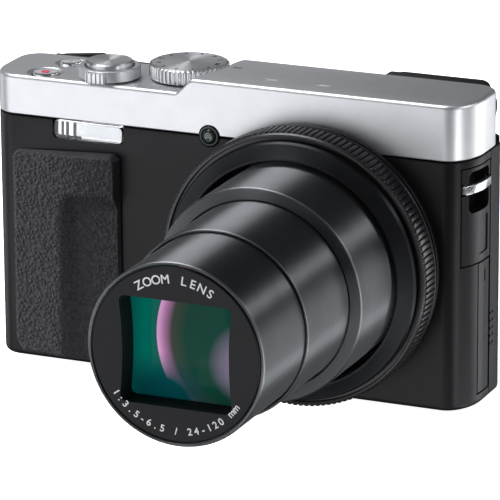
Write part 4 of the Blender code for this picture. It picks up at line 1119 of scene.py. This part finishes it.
def build_base():
    low, high = span("bottom_cover")
    inset = CASE_HIGH.x - high.x
    path = front_path(inset, 1.0) + rear_path(inset, REAR_HIGH.y, 2.0)
    socket = middle("tripod_socket")
    door_low, door_high = span("battery_door")
    cutters = [block((door_low.x - 0.4, door_low.y - 0.4, -1.0), (door_high.x + 0.4, door_high.y + 0.4, 3.0)),
               disc(4.7, -1.0, 3.0, socket, "z")]
    cutters += [disc(1.5, -1.0, 0.45, (x, y, 0.0), "z", 32) for x, y in BASE_SCREWS]
    piece("base_plate", carve(prism(path, low.z, high.z, "z"), cutters), "camera", CASE_BLACK,
          ("bottom_cover",), 0.15)
    heads = []
    for x, y in BASE_SCREWS:
        head = turned(rounded([(0.0, 0.42), (1.35, 0.42), (1.35, 0.2), (1.1, 0.12), (0.0, 0.12)], 0.05),
                      (x, y, 0.0), "z", 32, closed=False)
        cross = [block((x - 0.8, y - 0.13, 0.0), (x + 0.8, y + 0.13, 0.3)),
                 block((x - 0.13, y - 0.8, 0.0), (x + 0.13, y + 0.8, 0.3))]
        heads.append(carve(head, cross))
    piece("base_screws", joined(*heads), "camera", BRIGHT_STEEL)

    axis_x, axis_z = door_high.x - 0.7, middle("battery_door").z
    lid = block((door_low.x, door_low.y, door_low.z), (axis_x - 0.2, door_high.y, door_high.z))
    knuckle = disc(0.7, door_low.y, door_high.y, (axis_x, 0.0, axis_z), "y", 32)
    latch_low, latch_high = span("door_latch")
    recess = block((latch_low.x - 0.3, latch_low.y - 0.3, -1.0),
                   (latch_high.x + 3.3, latch_high.y + 0.3, 0.75))
    door = carve(carve(lid, [knuckle], "UNION"), [recess])
    piece("battery_lid", door, "battery_door", CASE_BLACK, ("battery_door",), 0.12)
    latch = block(latch_low, latch_high, 0.1)
    ribs = [block((latch_low.x + 0.7 + 0.6 * k, latch_low.y + 0.6, -1.0),
                  (latch_low.x + 1.0 + 0.6 * k, latch_high.y - 0.6, latch_low.z + 0.14)) for k in range(4)]
    piece("latch_slide", carve(latch, ribs), "door_latch", KEY_BLACK, ("door_latch",))

    low, high = span("tripod_socket")
    profile = [(0.0, high.z), (4.4, high.z), (4.4, low.z + 0.1), (4.3, low.z), (3.3, low.z)]
    for k in range(7):
        z = low.z + 0.15 + 0.68 * k
        profile += [(3.1, z), (3.3, z + 0.34)]
    profile += [(3.1, high.z - 0.7), (0.0, high.z - 0.7)]
    piece("tripod_thread", turned(profile, socket, "z", 64, closed=False), "camera", BRASS,
          ("tripod_socket",))


# ---------------------------------------------------------------- inside pieces that stay as CAD

def finish_node(node, look):
    node.data.materials.clear()
    node.data.materials.append(look)


def finish_inside():
    looks = {
        "usb_socket": BRIGHT_STEEL, "video_socket": BRIGHT_STEEL, "socket_board": BOARD, "speaker": KEY_BLACK,
        "flash_reflector": BRIGHT_STEEL, "flash_tube": CLEAR, "flash_capacitor": KEY_BLACK,
        "lens_barrel": DULL_BLACK, "zoom_lens": SMOKED, "rear_lens": CLEAR, "image_sensor": SMOKED,
        "sensor_plate": BRIGHT_STEEL, "main_board": BOARD, "control_board": BOARD, "chassis": BRIGHT_STEEL,
        "zoom_motor": BRIGHT_STEEL, "battery_holder": DULL_BLACK, "battery": CELL, "memory_card": CARD,
        "viewfinder_display": DISPLAY,
    }
    for name, look in looks.items():
        finish_node(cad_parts[name], look)


# ---------------------------------------------------------------- studio

def backdrop(name, bm):
    """Self-lit white that only the camera sees: it throws no light, shadow or glare on the object."""
    mesh = bpy.data.meshes.new(name)
    bm.to_mesh(mesh)
    bm.free()
    mesh.shade_smooth()
    obj = bpy.data.objects.new(name, mesh)
    bpy.context.scene.collection.objects.link(obj)
    obj.visible_glossy = obj.visible_diffuse = obj.visible_shadow = False
    look = {"Base Color": (0.93, 0.93, 0.93, 1.0), "Roughness": 0.8, "Specular IOR Level": 0.0,
            "Emission Color": (1.0, 1.0, 1.0, 1.0), "Emission Strength": 0.95}
    mesh.materials.append(graph_of(name, look)[0])
    return obj


def build_stage():
    """A pale floor inside a round pale backdrop."""
    floor = bmesh.new()
    bmesh.ops.create_circle(floor, cap_ends=True, segments=96, radius=4.0)
    backdrop("studio_floor", floor).location.z = min(0.0, cad_box[0][2]) - 0.0002
    wall = bmesh.new()
    bmesh.ops.create_uvsphere(wall, u_segments=64, v_segments=32, radius=4.0)
    backdrop("studio_dome", wall)


def softbox(name, azimuth, elevation, distance, size, radiance, glare=True):
    """A soft light: azimuth counts from the lens side towards the camera's right end."""
    light = bpy.data.lights.new(name, "AREA")
    light.shape, light.size, light.size_y = "RECTANGLE", size[0], size[1]
    light.energy = radiance * math.pi * size[0] * size[1]
    light.color = (0.965, 0.975, 1.0)
    obj = bpy.data.objects.new(name, light)
    bpy.context.scene.collection.objects.link(obj)
    turn, lift = math.radians(azimuth), math.radians(elevation)
    along = Vector((math.sin(turn) * math.cos(lift), -math.cos(turn) * math.cos(lift), math.sin(lift)))
    obj.location = LIGHTS_AIM + along * distance
    obj.rotation_euler = along.to_track_quat("Z", "Y").to_euler()
    obj.visible_camera, obj.visible_glossy = False, glare
    return obj


def build_lights():
    softbox("front_panel", -34, -8, 0.9, (1.15, 0.62), 1.62)
    softbox("low_panel", 10, -34, 0.9, (0.8, 0.35), 1.5)
    softbox("high_panel", -95, 69, 0.85, (0.24, 0.42), 11.0)
    softbox("edge_panel", -50, 56, 0.85, (0.34, 0.26), 4.2)
    softbox("right_high_strip", 100, 32, 0.8, (0.40, 0.14), 7.5)
    softbox("right_low_strip", 100, -32, 0.8, (0.40, 0.14), 6.0)
    softbox("corner_strip", 67, -14, 0.8, (0.12, 0.60), 7.2)
    softbox("rear_panel", 136, -8, 0.9, (0.46, 0.6), 2.8)
    softbox("rear_left_panel", -105, -6, 0.9, (0.30, 0.5), 1.2)
    softbox("top_glow", -153, 16.5, 0.85, (0.22, 0.11), 0.85)
    softbox("front_fill", -5, 12, 1.0, (0.8, 0.6), 0.5, glare=False)
    softbox("key_fill", -87, 6, 0.9, (0.3, 0.3), 85.0, glare=False)
    world = bpy.data.worlds.new("studio")
    world.use_nodes = True
    world.node_tree.nodes["Background"].inputs["Color"].default_value = (0.96, 0.98, 1.0, 1.0)
    world.node_tree.nodes["Background"].inputs["Strength"].default_value = 0.075
    bpy.context.scene.world = world
    bpy.context.scene.view_settings.view_transform = "Standard"


def build_camera():
    azimuth, elevation, roll = 0.4109, 0.3029, -0.0065
    back = Vector((math.sin(azimuth) * math.cos(elevation), -math.cos(azimuth) * math.cos(elevation),
                   math.sin(elevation)))
    right = Vector((math.cos(azimuth), math.sin(azimuth), 0.0))
    up = back.cross(right)
    across = right * math.cos(roll) + up * math.sin(roll)
    upright = up * math.cos(roll) - right * math.sin(roll)
    across_by, up_by, away = 5.5118, 28.9793, 944.7541     # from the front face's origin, in mm
    place = right * across_by + up * up_by + back * away + Vector((0.0, FACE, 0.0))
    data = bpy.data.cameras.new("studio_camera")
    data.lens, data.sensor_width = 313.11, 36.0
    data.clip_start, data.clip_end = 0.05, 20.0
    camera = bpy.data.objects.new("studio_camera", data)
    bpy.context.scene.collection.objects.link(camera)
    camera.matrix_world = Matrix.Translation(place * MM) @ Matrix(
        (across, upright, back)).transposed().to_4x4()
    bpy.context.scene.camera = camera


build_camera()
build_front_case()
build_rear_case()
build_top_cover()
build_ends()
build_grip()
build_thumb_rest()
build_flash()
build_lens()
build_top_controls()
build_back_controls()
build_screen()
build_viewfinder()
build_base()
finish_inside()
build_stage()
build_lights()
